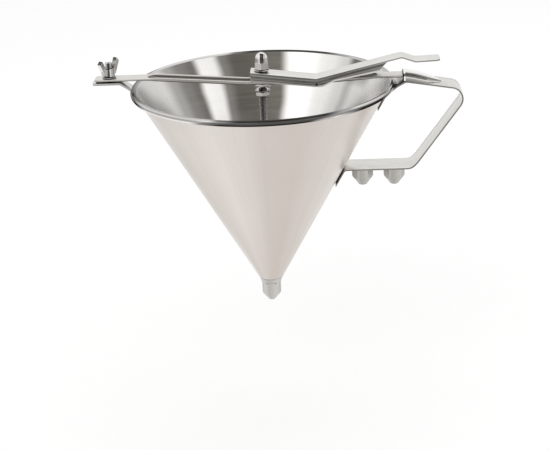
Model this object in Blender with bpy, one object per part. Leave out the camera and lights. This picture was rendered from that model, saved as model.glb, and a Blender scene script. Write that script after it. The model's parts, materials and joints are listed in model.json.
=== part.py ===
"""Hand-held dispensing funnel with a lever valve, modelled as separate pieces.

Metres. +Z is the funnel's axis, pointing up. +X points from the axis to the handle.
The origin is the centre of the rim's top plane, so most of the funnel lies below it.
"""

import math

import bmesh
import bpy
from mathutils import Vector

# Seams and clearances
SEAM = 0.0003
OVERRUN = 0.004

# Hopper
RIM_RADIUS = 0.100
HOPPER_DEPTH = 0.1605
HOPPER_WALL = 0.0009
CURL_RADIUS = 0.0022
CURL_TURN_SHARE = 0.80

# Outlet below the hopper
COLLAR_RADIUS = 0.0080
COLLAR_HEIGHT = 0.0014
NIPPLE_RADIUS = 0.0051
NIPPLE_LENGTH = 0.0046
OUTLET_BORE = 0.0036
SEAT_RISE = 0.0030

# Nozzles
NOZZLE_FLATS = 0.0128
NOZZLE_HEX_HEIGHT = 0.0093
NOZZLE_CONE_HEIGHT = 0.0060
NOZZLE_TIP_RADIUS = 0.0024
NOZZLE_BORE = 0.0014
SPARE_FLATS = 0.0140
SPARE_HEX_HEIGHT = 0.0074
SPARE_CONE_HEIGHT = 0.0068
SPARE_TIP_RADIUS = 0.0030
SPARE_INNER_BORE = 0.0018
SPARE_OUTER_BORE = 0.0022
SPARE_FROM_CONE = 0.0143
SPARE_PITCH = 0.0242
GASKET_THICKNESS = 0.0010

# Handle strip
HANDLE_WIDTH = 0.0250
HANDLE_SHEET = 0.0014
UPPER_LEG_DEPTH = 0.0210
LOWER_LEG_LENGTH = 0.0128
HANDLE_APEX_OUT = 0.0078
HANDLE_APEX_HEIGHT = 0.0006
HANDLE_REACH = 0.0570
HANDLE_SHOULDER_DROP = 0.0075
LOWER_STRIP_DEPTH = 0.0678
LOWER_CORNER_OUT = 0.0515
CORNER_RADIUS = 0.0090
BEND_RADIUS = 0.0050

# Arched socket on the handle for the bridge's end
HOOD_LENGTH = 0.0290
HOOD_SLACK = 0.0004
HOOD_SHEET = 0.0012
HOOD_MOUTH_OUT = 0.0056
HOOD_SHARES = (
    (0.00, 1.00, 1.00),
    (0.14, 1.00, 1.00),
    (0.30, 0.98, 1.00),
    (0.45, 0.89, 0.95),
    (0.60, 0.74, 0.86),
    (0.72, 0.58, 0.72),
    (0.84, 0.40, 0.52),
    (0.93, 0.26, 0.31),
    (1.00, 0.15, 0.12),
)
HOOD_ROUND_SHARE = 0.85

# Bridge bar across the rim
BAR_WIDTH = 0.0132
BAR_SHEET = 0.0015
FLANGE_RISE = 0.0014
GROOVE_SINK = 0.0005
FAR_TAB_HEIGHT = 0.0061
NEAR_TAB_GAP = 0.0009
BAR_MID_HEIGHT = 0.0005
TAB_INSET = 0.0140
FAR_TIP_OUT = 0.0265
TAB_IN_HOOD = 0.0070
MID_FLAT_BACK = 0.0120
CHANNEL_RAMP = 0.0070
FRONT_GAP_SHARE = 0.75

# Lug that carries the far end of the bridge
LUG_SHEET = 0.0016
LUG_OUT = 0.0284
LUG_NECK = 0.0070

# Stud and wing nut
STUD_OUT = 0.0158
STUD_RADIUS = 0.0025
STUD_ABOVE_TAB = 0.0118
STUD_FOOT_RADIUS = 0.0046
WASHER_RADIUS = 0.0052
WASHER_THICKNESS = 0.0007
WING_HUB_RADIUS = 0.0043
WING_HUB_HEIGHT = 0.0062
WING_SPAN = 0.0200
WING_HEIGHT = 0.0130
WING_SHEET = 0.0034
WING_HUB_TOP_SHARE = 0.82
WING_TURN = math.radians(54)

# Thumb lever
PIVOT_X = 0.0410
PIN_RADIUS = 0.0009
LEVER_SHEET = 0.0011
LEVER_SLACK = 0.0004
LEVER_BACK = 0.0086
LEVER_PEAK_X = 0.1050
LEVER_END_X = 0.1335
LEVER_VEE_HEIGHT = 0.0036
LEVER_BACK_RISE = 0.0064
LEVER_PEAK_RISE = 0.0146
THUMB_DROP = 0.0036
THUMB_BEND_SHARE = 0.36
THUMB_BEND_SPREAD_SHARE = 0.05
LEVER_BACK_FLANGE = 0.0072
FLANGE_END_X = 0.0865
FLANGE_END_DEPTH = 0.0053
FLANGE_SLANT = 0.0070
PIN_WALL = 0.0006

# Valve rod, its nuts and its guide
ROD_RADIUS = 0.0030
STROKE = 0.0026
CAP_FLATS = 0.0100
CAP_HEX_HEIGHT = 0.0056
CAP_DOME_RADIUS = 0.0045
CAP_HEIGHT = 0.0130
ROD_WASHER_RADIUS = 0.0058
BUSH_RADIUS = 0.0040
BUSH_FLANGE_RADIUS = 0.0047
BUSH_FLANGE_HEIGHT = 0.0008
BUSH_BELOW = 0.0024
GUIDE_NUT_FLATS = 0.0100
GUIDE_COLLAR_RADIUS = 0.0056
GUIDE_COLLAR_HEIGHT = 0.0008
STOP_NUT_HEIGHT = 0.0032

# Valve plug
PLUG_HUB_RADIUS = 0.0048
PLUG_FLANGE_RADIUS = 0.0063
PLUG_HUB_HEIGHT = 0.0045
PLUG_NOSE_RADIUS = 0.0026
RING_RADIUS = 0.0056
RING_SECTION = 0.0009
PLUG_LIP_SHARE = 0.6

# Edge breaks, chamfers and rounded corners
EDGE_BREAK = 0.00025
SHARP_ANGLE = math.radians(50)
CHAMFER_START_SHARE = 0.94
CHAMFER_FALL_SHARE = 0.45
CORNER_SHARES = ((0, 1), (0.3, 0.3), (1, 0))

# Counts of sides
RIM_SIDES = 96
CURL_STEPS = 10
ROUND_SIDES = 32
HEX_SIDES = 36
ARCH_STEPS = 10
BEND_STEP = math.radians(12)
HEX_FLATS = 6

STEEL_SATIN = ((0.70, 0.69, 0.67), 0.32, 1.0)
STEEL_POLISHED = ((0.78, 0.77, 0.75), 0.16, 1.0)
STEEL_BRUSHED = ((0.60, 0.59, 0.57), 0.38, 1.0)
STEEL_TURNED = ((0.74, 0.73, 0.71), 0.24, 1.0)
SILICONE = ((0.82, 0.81, 0.78), 0.60, 0.0)
DARK_RUBBER = ((0.05, 0.05, 0.05), 0.70, 0.0)

# Hopper geometry that several pieces follow
CURL_CENTRE = (RIM_RADIUS - CURL_RADIUS, -CURL_RADIUS)
CURL_INNER = CURL_RADIUS - HOPPER_WALL
CONE_RUN = CURL_CENTRE[0] - COLLAR_RADIUS
CONE_RISE = HOPPER_DEPTH - CURL_RADIUS
CONE_LEAN = math.atan2(CONE_RUN, CONE_RISE) - math.asin(CURL_INNER / math.hypot(CONE_RUN, CONE_RISE))

# Heights that the rod, the lever and the bridge share
NEAR_TAB_HEIGHT = HANDLE_APEX_HEIGHT + HANDLE_SHEET / 2 + NEAR_TAB_GAP
BAR_TOP = BAR_MID_HEIGHT + BAR_SHEET - GROOVE_SINK
PIVOT_HEIGHT = BAR_MID_HEIGHT - SEAM - PIN_RADIUS
LEVER_WIDTH = BAR_WIDTH + 2 * (LEVER_SLACK + LEVER_SHEET)
LEVER_BACK_SLOPE = LEVER_BACK_RISE / (PIVOT_X + LEVER_BACK)
LEVER_PEAK_SLOPE = LEVER_PEAK_RISE / (LEVER_PEAK_X - PIVOT_X)
LEVER_PLATE = LEVER_SHEET * math.hypot(1, LEVER_PEAK_SLOPE)
ROD_WASHER_HEIGHT = LEVER_VEE_HEIGHT + (PIVOT_X + ROD_WASHER_RADIUS) * LEVER_BACK_SLOPE + SEAM
CAP_BASE = ROD_WASHER_HEIGHT + WASHER_THICKNESS + SEAM
BUSH_BOTTOM = BAR_MID_HEIGHT - BUSH_BELOW
GUIDE_NUT_BOTTOM = BUSH_BOTTOM - GUIDE_COLLAR_HEIGHT
STOP_TOP = GUIDE_NUT_BOTTOM - STROKE
LUG_TOP = FAR_TAB_HEIGHT - SEAM - WASHER_THICKNESS - SEAM

# Heights at the outlet
SEAM_HEIGHT = -HOPPER_DEPTH + SEAT_RISE
OUTLET_TOP = SEAM_HEIGHT - SEAM
COLLAR_BOTTOM = -HOPPER_DEPTH - COLLAR_HEIGHT


def cone_outside(height):
    """Return the radius of the hopper's outer face at this height."""
    return COLLAR_RADIUS + (height + HOPPER_DEPTH) * math.tan(CONE_LEAN)


def cone_inside(height):
    """Return the radius of the hopper's inner face at this height."""
    return cone_outside(height) - HOPPER_WALL / math.cos(CONE_LEAN)


# Conical seat in the outlet, at 45 degrees
SEAT_TOP_RADIUS = cone_inside(OUTLET_TOP)
SEAT_BOTTOM = OUTLET_TOP - (SEAT_TOP_RADIUS - OUTLET_BORE)
RING_HEIGHT = SEAT_BOTTOM + (RING_RADIUS - OUTLET_BORE) + (RING_SECTION + SEAM) * math.sqrt(2)
PLUG_TOP = RING_HEIGHT + RING_SECTION + SEAM + PLUG_HUB_HEIGHT + GASKET_THICKNESS


def clear_scene():
    """Remove every object that the file starts with."""
    for item in list(bpy.data.objects):
        bpy.data.objects.remove(item, do_unlink=True)


def make_material(name, finish):
    """Make one metal or rubber finish with its own Principled shader."""
    colour, roughness, metallic = finish
    material = bpy.data.materials.new(name)
    material.use_nodes = True
    shader = material.node_tree.nodes["Principled BSDF"]
    shader.inputs["Base Color"].default_value = (*colour, 1.0)
    shader.inputs["Roughness"].default_value = roughness
    shader.inputs["Metallic"].default_value = metallic
    return material


def add_object(name, bm, finish=None):
    """Turn a bmesh into a linked object, with outward faces and its own material."""
    bmesh.ops.recalc_face_normals(bm, faces=bm.faces)
    mesh = bpy.data.meshes.new(name)
    bm.to_mesh(mesh)
    bm.free()
    item = bpy.data.objects.new(name, mesh)
    bpy.context.scene.collection.objects.link(item)
    if finish:
        mesh.materials.append(make_material(f"{name}_finish", finish))
    return item


def cut(item, cutter, operation="DIFFERENCE"):
    """Take a hidden cutter out of a piece, or join it on."""
    cutter.hide_render = True
    cutter.display_type = "WIRE"
    modifier = item.modifiers.new(cutter.name, "BOOLEAN")
    modifier.operation = operation
    modifier.solver = "EXACT"
    modifier.object = cutter


def break_edges(item, width):
    """Soften the sharp edges of a sheet piece."""
    modifier = item.modifiers.new("edge_break", "BEVEL")
    modifier.width = width
    modifier.segments = 2
    modifier.limit_method = "ANGLE"
    modifier.angle_limit = SHARP_ANGLE


def move_origin(item, origin):
    """Put the object's origin on its axis without moving its faces."""
    shift = Vector(origin)
    for vertex in item.data.vertices:
        vertex.co -= shift
    item.location = shift


def gather(name, origin, children):
    """Parent the pieces of one moving group to an empty on its axis."""
    holder = bpy.data.objects.new(name, None)
    holder.location = origin
    bpy.context.scene.collection.objects.link(holder)
    for child in children:
        child.parent = holder
        child.location = child.location - holder.location
    return holder


def revolve(name, column_at, sides, finish=None, centre=(0, 0)):
    """Turn a profile about a vertical axis; column_at gives (radius, height) points at an angle.

    A profile that starts and ends on the axis is capped there; any other one is a closed loop.
    """
    bm = bmesh.new()
    first = column_at(0)
    capped = first[0][0] == 0
    poles = {}
    if capped:
        for index in (0, len(first) - 1):
            poles[index] = bm.verts.new((centre[0], centre[1], first[index][1]))
    columns = []
    for step in range(sides):
        angle = 2 * math.pi * step / sides
        column = []
        for index, (radius, height) in enumerate(column_at(angle)):
            if index in poles:
                column.append(poles[index])
                continue
            place = (centre[0] + radius * math.cos(angle), centre[1] + radius * math.sin(angle), height)
            column.append(bm.verts.new(place))
        columns.append(column)
    spans = len(first) - 1 if capped else len(first)
    for step in range(sides):
        near = columns[step]
        far = columns[(step + 1) % sides]
        for index in range(spans):
            after = (index + 1) % len(first)
            corners = [near[index], near[after], far[after], far[index]]
            bm.faces.new(list(dict.fromkeys(corners)))
    return add_object(name, bm, finish)


def lathe(name, profile, sides, finish=None, centre=(0, 0)):
    """Revolve one fixed profile."""
    return revolve(name, lambda angle: profile, sides, finish, centre)


def tube(name, inner, outer, low, high, finish, centre=(0, 0)):
    """Make a plain ring with a rectangular section."""
    section = [(inner, low), (outer, low), (outer, high), (inner, high)]
    return lathe(name, section, ROUND_SIDES, finish, centre)


def rod_along(name, start, end, radius, sides=ROUND_SIDES, finish=None):
    """Make a solid round bar between two points."""
    bm = bmesh.new()
    axis = Vector(end) - Vector(start)
    bmesh.ops.create_cone(
        bm, cap_ends=True, segments=sides, radius1=radius, radius2=radius, depth=axis.length
    )
    turn = Vector((0, 0, 1)).rotation_difference(axis)
    bmesh.ops.rotate(bm, verts=bm.verts, matrix=turn.to_matrix())
    bmesh.ops.translate(bm, verts=bm.verts, vec=(Vector(start) + Vector(end)) / 2)
    return add_object(name, bm, finish)


def flat_radius(angle, flats):
    """Return how far a hexagon of this size across its flats reaches at an angle."""
    sector = 2 * math.pi / HEX_FLATS
    offset = angle % sector - sector / 2
    return flats / 2 / math.cos(offset)


def corner_radius(flats):
    """Return the radius to the corners of a hexagon of this size across its flats."""
    return flats / 2 / math.cos(math.pi / HEX_FLATS)


def at_radius(start, end, radius):
    """Return the point of a sloping profile line at this radius."""
    share = (radius - start[0]) / (end[0] - start[0])
    return (radius, start[1] + share * (end[1] - start[1]))


def hex_piece(name, flats, before, upper, lower, after, finish, centre=(0, 0)):
    """Revolve a profile whose widest run is a hexagon, met by two conical chamfers."""

    def column_at(angle):
        reach = flat_radius(angle, flats)
        return before + [at_radius(*upper, reach), at_radius(*lower, reach)] + after

    return revolve(name, column_at, HEX_SIDES, finish, centre)


def chamfer(flats, height, direction):
    """Return a conical chamfer from inside the flats to the corners of a hexagon."""
    inner = flats / 2 * CHAMFER_START_SHARE
    outer = corner_radius(flats)
    return (inner, height), (outer, height + direction * (outer - inner) * CHAMFER_FALL_SHARE)


def plain_nut(name, flats, bore, low, high, finish):
    """Make a chamfered hexagon nut with a plain bore."""
    upper = chamfer(flats, high, -1)
    lower = chamfer(flats, low, 1)
    before = [(bore, high), upper[0]]
    after = [lower[0], (bore, low)]
    return hex_piece(name, flats, before, upper, lower, after, finish)


def rounded_path(corners, radii):
    """Replace each inner corner of a line by an arc, no longer than its sides allow."""
    points = [Vector(corners[0])]
    for before, corner, after, radius in zip(corners, corners[1:], corners[2:], radii):
        corner = Vector(corner)
        inward = (Vector(before) - corner).normalized()
        outward = (Vector(after) - corner).normalized()
        half = inward.angle(outward) / 2
        room = min((Vector(before) - corner).length, (Vector(after) - corner).length) / 2
        reach = min(radius / math.tan(half), room)
        radius = reach * math.tan(half)
        centre = corner + (inward + outward).normalized() * (radius / math.sin(half))
        start = corner + inward * reach - centre
        sweep = math.pi - 2 * half
        turned_left = inward.cross(outward) < 0
        steps = max(2, math.ceil(sweep / BEND_STEP))
        for step in range(steps + 1):
            angle = sweep * step / steps * (1 if turned_left else -1)
            spun = (
                start.x * math.cos(angle) - start.y * math.sin(angle),
                start.x * math.sin(angle) + start.y * math.cos(angle),
            )
            points.append(centre + Vector(spun))
    points.append(Vector(corners[-1]))
    return points


def offset_path(points, distance):
    """Shift a line sideways by a distance, keeping its corners sharp."""
    shifted = []
    for index, point in enumerate(points):
        before = points[max(index - 1, 0)]
        after = points[min(index + 1, len(points) - 1)]
        incoming = (point - before) if index else (after - point)
        leaving = (after - point) if index < len(points) - 1 else (point - before)
        first = Vector((-incoming.y, incoming.x)).normalized()
        second = Vector((-leaving.y, leaving.x)).normalized()
        middle = (first + second).normalized()
        shifted.append(point + middle * (distance / middle.dot(first)))
    return shifted


def bent_strip(name, path, sheet, width, finish, start_round=0, end_round=0):
    """Make a bent metal strip whose ends can have rounded corners."""
    bm = bmesh.new()
    left = offset_path(path, sheet / 2)
    right = offset_path(path, -sheet / 2)
    rows = []
    for side in (-width / 2, width / 2):
        upper = [bm.verts.new((point.x, side, point.y)) for point in left]
        lower = [bm.verts.new((point.x, side, point.y)) for point in right]
        rows.append((upper, lower))
    (near_up, near_low), (far_up, far_low) = rows
    for index in range(len(path) - 1):
        after = index + 1
        bm.faces.new([near_up[index], near_up[after], far_up[after], far_up[index]])
        bm.faces.new([near_low[index], near_low[after], far_low[after], far_low[index]])
        bm.faces.new([near_up[index], near_up[after], near_low[after], near_low[index]])
        bm.faces.new([far_up[index], far_up[after], far_low[after], far_low[index]])
    for index in (0, -1):
        bm.faces.new([near_up[index], near_low[index], far_low[index], far_up[index]])
    bmesh.ops.recalc_face_normals(bm, faces=bm.faces)
    for index, radius in ((0, start_round), (-1, end_round)):
        if radius:
            pairs = [(near_up[index], near_low[index]), (far_up[index], far_low[index])]
            edges = [bm.edges.get(pair) for pair in pairs]
            bmesh.ops.bevel(bm, geom=edges, offset=radius, segments=4, profile=0.5, affect="EDGES")
    return add_object(name, bm, finish)


def join_sections(sections):
    """Skin a row of closed sections, all with the same count of points, and cap both ends."""
    bm = bmesh.new()
    rings = [[bm.verts.new(point) for point in section] for section in sections]
    for near, far in zip(rings, rings[1:]):
        for index in range(len(near)):
            after = (index + 1) % len(near)
            bm.faces.new([near[index], near[after], far[after], far[index]])
    bm.faces.new(rings[0])
    bm.faces.new(rings[-1])
    bmesh.ops.recalc_face_normals(bm, faces=bm.faces)
    return bm, rings


def loft(name, stations, finish=None, round_top=0):
    """Join upright rectangles along X; each station is (x, low, high, half width)."""
    sections = []
    for x, low, high, half in stations:
        sections.append([(x, -half, low), (x, half, low), (x, half, high), (x, -half, high)])
    bm, rings = join_sections(sections)
    if round_top:
        edges = []
        for near, far in zip(rings, rings[1:]):
            edges.append(bm.edges.get((near[2], far[2])))
            edges.append(bm.edges.get((near[3], far[3])))
        bmesh.ops.bevel(bm, geom=edges, offset=round_top, segments=3, profile=0.5, affect="EDGES")
    return add_object(name, bm, finish)


def make_hopper():
    """Spin the cone with its rolled rim as one sheet profile."""
    normal_angle = math.pi - CONE_LEAN
    outer_start = (cone_outside(SEAM_HEIGHT), SEAM_HEIGHT)
    inner_start = (cone_inside(SEAM_HEIGHT), SEAM_HEIGHT)
    inner_arc = []
    outer_arc = []
    for step in range(CURL_STEPS + 1):
        angle = normal_angle - 2 * math.pi * CURL_TURN_SHARE * step / CURL_STEPS
        direction = (math.cos(angle), math.sin(angle))
        for arc, radius in ((inner_arc, CURL_INNER), (outer_arc, CURL_RADIUS)):
            arc.append((CURL_CENTRE[0] + radius * direction[0], CURL_CENTRE[1] + radius * direction[1]))
    profile = [outer_start] + inner_arc + outer_arc[::-1] + [inner_start]
    return lathe("hopper", profile, RIM_SIDES, STEEL_SATIN)


def make_outlet():
    """Turn the outlet: weld lip, collar, nipple and conical valve seat."""
    nipple_bottom = COLLAR_BOTTOM - NIPPLE_LENGTH
    profile = [
        (SEAT_TOP_RADIUS, OUTLET_TOP),
        (cone_outside(OUTLET_TOP), OUTLET_TOP),
        (COLLAR_RADIUS, -HOPPER_DEPTH),
        (COLLAR_RADIUS, COLLAR_BOTTOM + EDGE_BREAK),
        (COLLAR_RADIUS - EDGE_BREAK, COLLAR_BOTTOM),
        (NIPPLE_RADIUS, COLLAR_BOTTOM),
        (NIPPLE_RADIUS, nipple_bottom + EDGE_BREAK),
        (NIPPLE_RADIUS - EDGE_BREAK, nipple_bottom),
        (OUTLET_BORE, nipple_bottom),
        (OUTLET_BORE, SEAT_BOTTOM),
    ]
    return lathe("outlet", profile, ROUND_SIDES, STEEL_TURNED)


def make_nozzle(name, flats, hex_height, cone_height, tip, bore, top, centre=(0, 0)):
    """Make a nozzle: hexagon with a socket for the nipple, then a blunt cone."""
    socket = NIPPLE_RADIUS + SEAM
    floor = top - NIPPLE_LENGTH - GASKET_THICKNESS - SEAM
    shoulder = top - hex_height
    bottom = shoulder - cone_height
    corner = corner_radius(flats)
    inner = flats / 2 * CHAMFER_START_SHARE
    cone_slope = cone_height / (corner - tip)
    upper = chamfer(flats, top, -1)
    lower = (inner, shoulder - (corner - inner) * cone_slope), (corner, shoulder)
    throat = (socket + bore) / 2
    before = [(socket, top), upper[0]]
    after = [
        lower[0],
        (tip, bottom + EDGE_BREAK),
        (tip - EDGE_BREAK, bottom),
        (bore, bottom),
        (bore, bottom + cone_height / 2),
        (throat, floor),
        (socket, floor),
    ]
    nozzle = hex_piece(name, flats, before, upper, lower, after, STEEL_TURNED, centre)
    move_origin(nozzle, (centre[0], centre[1], top))
    return nozzle


def make_outlet_nozzle():
    """Screw the nozzle in use onto the outlet, with a sealing ring inside."""
    top = COLLAR_BOTTOM - SEAM
    make_nozzle(
        "nozzle",
        NOZZLE_FLATS,
        NOZZLE_HEX_HEIGHT,
        NOZZLE_CONE_HEIGHT,
        NOZZLE_TIP_RADIUS,
        NOZZLE_BORE,
        top,
    )
    ring_top = COLLAR_BOTTOM - NIPPLE_LENGTH - SEAM
    ring_low = top - NIPPLE_LENGTH - GASKET_THICKNESS
    tube("nozzle_gasket", OUTLET_BORE, NIPPLE_RADIUS, ring_low, ring_top, SILICONE)


def make_spare_nozzles():
    """Hang two spare nozzles on short studs under the handle's lower strip."""
    underside = -LOWER_STRIP_DEPTH - HANDLE_SHEET / 2
    stud_top = underside - SEAM
    stud_low = stud_top - NIPPLE_LENGTH
    first_x = cone_outside(-LOWER_STRIP_DEPTH) + SPARE_FROM_CONE
    for name, index, bore in (("inner", 0, SPARE_INNER_BORE), ("outer", 1, SPARE_OUTER_BORE)):
        place = (first_x + index * SPARE_PITCH, 0)
        profile = [
            (0, stud_low),
            (NIPPLE_RADIUS - EDGE_BREAK, stud_low),
            (NIPPLE_RADIUS, stud_low + EDGE_BREAK),
            (NIPPLE_RADIUS, stud_top),
            (0, stud_top),
        ]
        lathe(f"spare_stud_{name}", profile, ROUND_SIDES, STEEL_TURNED, place)
        make_nozzle(
            f"spare_nozzle_{name}",
            SPARE_FLATS,
            SPARE_HEX_HEIGHT,
            SPARE_CONE_HEIGHT,
            SPARE_TIP_RADIUS,
            bore,
            stud_top,
            place,
        )


def handle_path():
    """Return the middle line of the handle strip, from its upper weld leg round to its lower one."""
    stand_off = (SEAM + HANDLE_SHEET / 2) / math.cos(CONE_LEAN)
    below_curl = -2 * CURL_RADIUS - 1.5 * BEND_RADIUS
    shoulder_x = RIM_RADIUS + HANDLE_REACH
    lower_x = cone_outside(-LOWER_STRIP_DEPTH) + LOWER_CORNER_OUT
    leg_end = -LOWER_STRIP_DEPTH - LOWER_LEG_LENGTH
    corners = [
        (cone_outside(-UPPER_LEG_DEPTH) + stand_off, -UPPER_LEG_DEPTH),
        (cone_outside(below_curl) + stand_off, below_curl),
        (RIM_RADIUS + HANDLE_APEX_OUT, HANDLE_APEX_HEIGHT),
        (shoulder_x, -HANDLE_SHOULDER_DROP),
        (lower_x + CORNER_RADIUS / 2, -LOWER_STRIP_DEPTH + CORNER_RADIUS / 2),
        (lower_x, -LOWER_STRIP_DEPTH),
        (cone_outside(-LOWER_STRIP_DEPTH) + stand_off, -LOWER_STRIP_DEPTH),
        (cone_outside(leg_end) + stand_off, leg_end),
    ]
    radii = [BEND_RADIUS] * 2 + [CORNER_RADIUS] * 3 + [BEND_RADIUS / 2]
    return rounded_path(corners, radii)


def make_handle():
    """Bend the handle from one strip."""
    handle = bent_strip("handle", handle_path(), HANDLE_SHEET, HANDLE_WIDTH, STEEL_POLISHED)
    break_edges(handle, EDGE_BREAK)
    return handle


def strip_top(x):
    """Return the height of the handle strip's upper face between its apex and its shoulder."""
    fall = (HANDLE_APEX_HEIGHT + HANDLE_SHOULDER_DROP) / (HANDLE_REACH - HANDLE_APEX_OUT)
    out = x - RIM_RADIUS - HANDLE_APEX_OUT
    return HANDLE_APEX_HEIGHT - max(out, 0) * fall + HANDLE_SHEET / 2 * math.hypot(1, fall)


def arch_section(x, low, rise, half, drop=0):
    """Return a round-shouldered arch across X, whose feet can be drawn down."""
    points = []
    for step in range(ARCH_STEPS + 1):
        angle = math.pi * step / ARCH_STEPS
        side = math.copysign(abs(math.cos(angle)) ** HOOD_ROUND_SHARE, math.cos(angle))
        points.append((x, half * side, low + rise * abs(math.sin(angle)) ** HOOD_ROUND_SHARE))
    if drop:
        points = [(x, half, low - drop)] + points + [(x, -half, low - drop)]
    return points


def make_hood():
    """Make the socket for the bridge's end: an arched cover that runs out to a point."""
    mouth = RIM_RADIUS + HOOD_MOUTH_OUT
    full_half = HANDLE_WIDTH / 2 - EDGE_BREAK
    across_share = BAR_WIDTH / 2 / (full_half - HOOD_SHEET)
    corner_share = (1 - across_share ** (2 / HOOD_ROUND_SHARE)) ** (HOOD_ROUND_SHARE / 2)
    bar_corner = NEAR_TAB_HEIGHT + BAR_SHEET + HOOD_SLACK - strip_top(mouth + TAB_IN_HOOD) - SEAM
    full_rise = bar_corner / corner_share + HOOD_SHEET
    shell = []
    hollow = []
    for along_share, rise_share, half_share in HOOD_SHARES:
        x = mouth + along_share * HOOD_LENGTH
        low = strip_top(x) + SEAM
        rise = full_rise * rise_share
        half = full_half * half_share
        shell.append(arch_section(x, low, rise, half))
        if rise > 2 * HOOD_SHEET:
            hollow.append((x, low, rise - HOOD_SHEET, half - HOOD_SHEET))
    hollow[0] = (mouth - OVERRUN, *hollow[0][1:])
    hood = add_object("hood", join_sections(shell)[0], STEEL_POLISHED)
    inside = [arch_section(*station, drop=OVERRUN) for station in hollow]
    cut(hood, add_object("hood_hollow", join_sections(inside)[0]))
    return hood


def make_lug():
    """Bend the lug that stands on the rim and carries the stud."""
    level = LUG_TOP - LUG_SHEET / 2
    corners = [
        (-RIM_RADIUS - LUG_OUT, level),
        (-RIM_RADIUS - LUG_NECK, level),
        (-CURL_CENTRE[0], CURL_CENTRE[1]),
    ]
    path = rounded_path(corners, [BEND_RADIUS])
    lug = bent_strip("lug", path, LUG_SHEET, BAR_WIDTH, STEEL_POLISHED, start_round=BAR_WIDTH / 4)
    bead = []
    for step in range(ROUND_SIDES):
        angle = 2 * math.pi * step / ROUND_SIDES
        reach = CURL_RADIUS + SEAM
        bead.append((CURL_CENTRE[0] + reach * math.cos(angle), CURL_CENTRE[1] + reach * math.sin(angle)))
    cut(lug, lathe("lug_bead", bead, RIM_SIDES))
    return lug


def bar_low(x):
    """Return the height of the bar's underside at this distance along it."""
    tab = RIM_RADIUS - TAB_INSET
    near_flat = PIVOT_X + MID_FLAT_BACK
    if x < -MID_FLAT_BACK:
        share = min((-MID_FLAT_BACK - x) / (tab - MID_FLAT_BACK), 1)
        return BAR_MID_HEIGHT + share * (FAR_TAB_HEIGHT - BAR_MID_HEIGHT)
    share = min(max((x - near_flat) / (tab - near_flat), 0), 1)
    return BAR_MID_HEIGHT + share * (NEAR_TAB_HEIGHT - BAR_MID_HEIGHT)


def bar_section(x, flange=0.0, half=BAR_WIDTH / 2, drop=0.0):
    """Return one station of the bar, with its flange height above the sheet."""
    low = bar_low(x)
    return (x, low - drop, low + BAR_SHEET + flange, half)


def make_bar():
    """Make the bridge: flat ends, a channel between them, and two ears that carry the lever."""
    tab = RIM_RADIUS - TAB_INSET
    half = BAR_WIDTH / 2
    ear_half = 4 * PIN_RADIUS
    ear_drop = BAR_MID_HEIGHT - PIVOT_HEIGHT + PIN_RADIUS + SEAM + PIN_WALL
    gap_back = PIVOT_X - MID_FLAT_BACK
    gap_front = PIVOT_X + MID_FLAT_BACK * FRONT_GAP_SHARE
    corner = BAR_WIDTH / 4
    far_tip = -RIM_RADIUS - FAR_TIP_OUT
    near_tip = RIM_RADIUS + HOOD_MOUTH_OUT + TAB_IN_HOOD
    stations = []
    for along, inset in CORNER_SHARES:
        stations.append(bar_section(far_tip + along * corner, half=half - inset * corner))
    stations += [
        bar_section(-tab),
        bar_section(-tab + CHANNEL_RAMP, FLANGE_RISE),
        bar_section(-MID_FLAT_BACK, FLANGE_RISE),
        bar_section(gap_back - FLANGE_RISE, FLANGE_RISE),
        bar_section(gap_back),
        bar_section(PIVOT_X - ear_half - PIN_RADIUS),
        bar_section(PIVOT_X - ear_half, drop=ear_drop / 2),
        bar_section(PIVOT_X - ear_half + PIN_RADIUS, drop=ear_drop),
        bar_section(PIVOT_X + ear_half - PIN_RADIUS, drop=ear_drop),
        bar_section(PIVOT_X + ear_half, drop=ear_drop / 2),
        bar_section(PIVOT_X + ear_half + PIN_RADIUS),
        bar_section(gap_front),
        bar_section(gap_front + FLANGE_RISE, FLANGE_RISE),
        bar_section(PIVOT_X + MID_FLAT_BACK + FLANGE_RISE, FLANGE_RISE),
        bar_section(tab - CHANNEL_RAMP, FLANGE_RISE),
        bar_section(tab),
    ]
    for along, inset in CORNER_SHARES[::-1]:
        stations.append(bar_section(near_tip - along * corner, half=half - inset * corner))
    bar = loft("bar", stations, STEEL_BRUSHED)
    inner = half - BAR_SHEET
    cut(bar, loft("bar_groove", groove_stations(tab, inner)))
    slot_reach = ear_half + 3 * PIN_RADIUS
    slot_low = BAR_MID_HEIGHT - ear_drop - OVERRUN
    slot_top = BAR_MID_HEIGHT + EDGE_BREAK
    slot = [(PIVOT_X + side * slot_reach, slot_low, slot_top, inner) for side in (-1, 1)]
    cut(bar, loft("bar_ear_slot", slot))
    hole = PIN_RADIUS + SEAM
    pin_side = half + OVERRUN
    pin_start = (PIVOT_X, -pin_side, PIVOT_HEIGHT)
    pin_end = (PIVOT_X, pin_side, PIVOT_HEIGHT)
    cut(bar, rod_along("bar_pin_hole", pin_start, pin_end, hole, ROUND_SIDES // 2))
    stud_x = -RIM_RADIUS - STUD_OUT
    for name, x, radius in (("bar_bush_hole", 0, BUSH_RADIUS), ("bar_stud_hole", stud_x, STUD_RADIUS)):
        low = bar_low(x)
        start = (x, 0, low - OVERRUN)
        end = (x, 0, low + BAR_SHEET + OVERRUN)
        cut(bar, rod_along(name, start, end, radius + SEAM, ROUND_SIDES // 2))
    return bar


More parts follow.
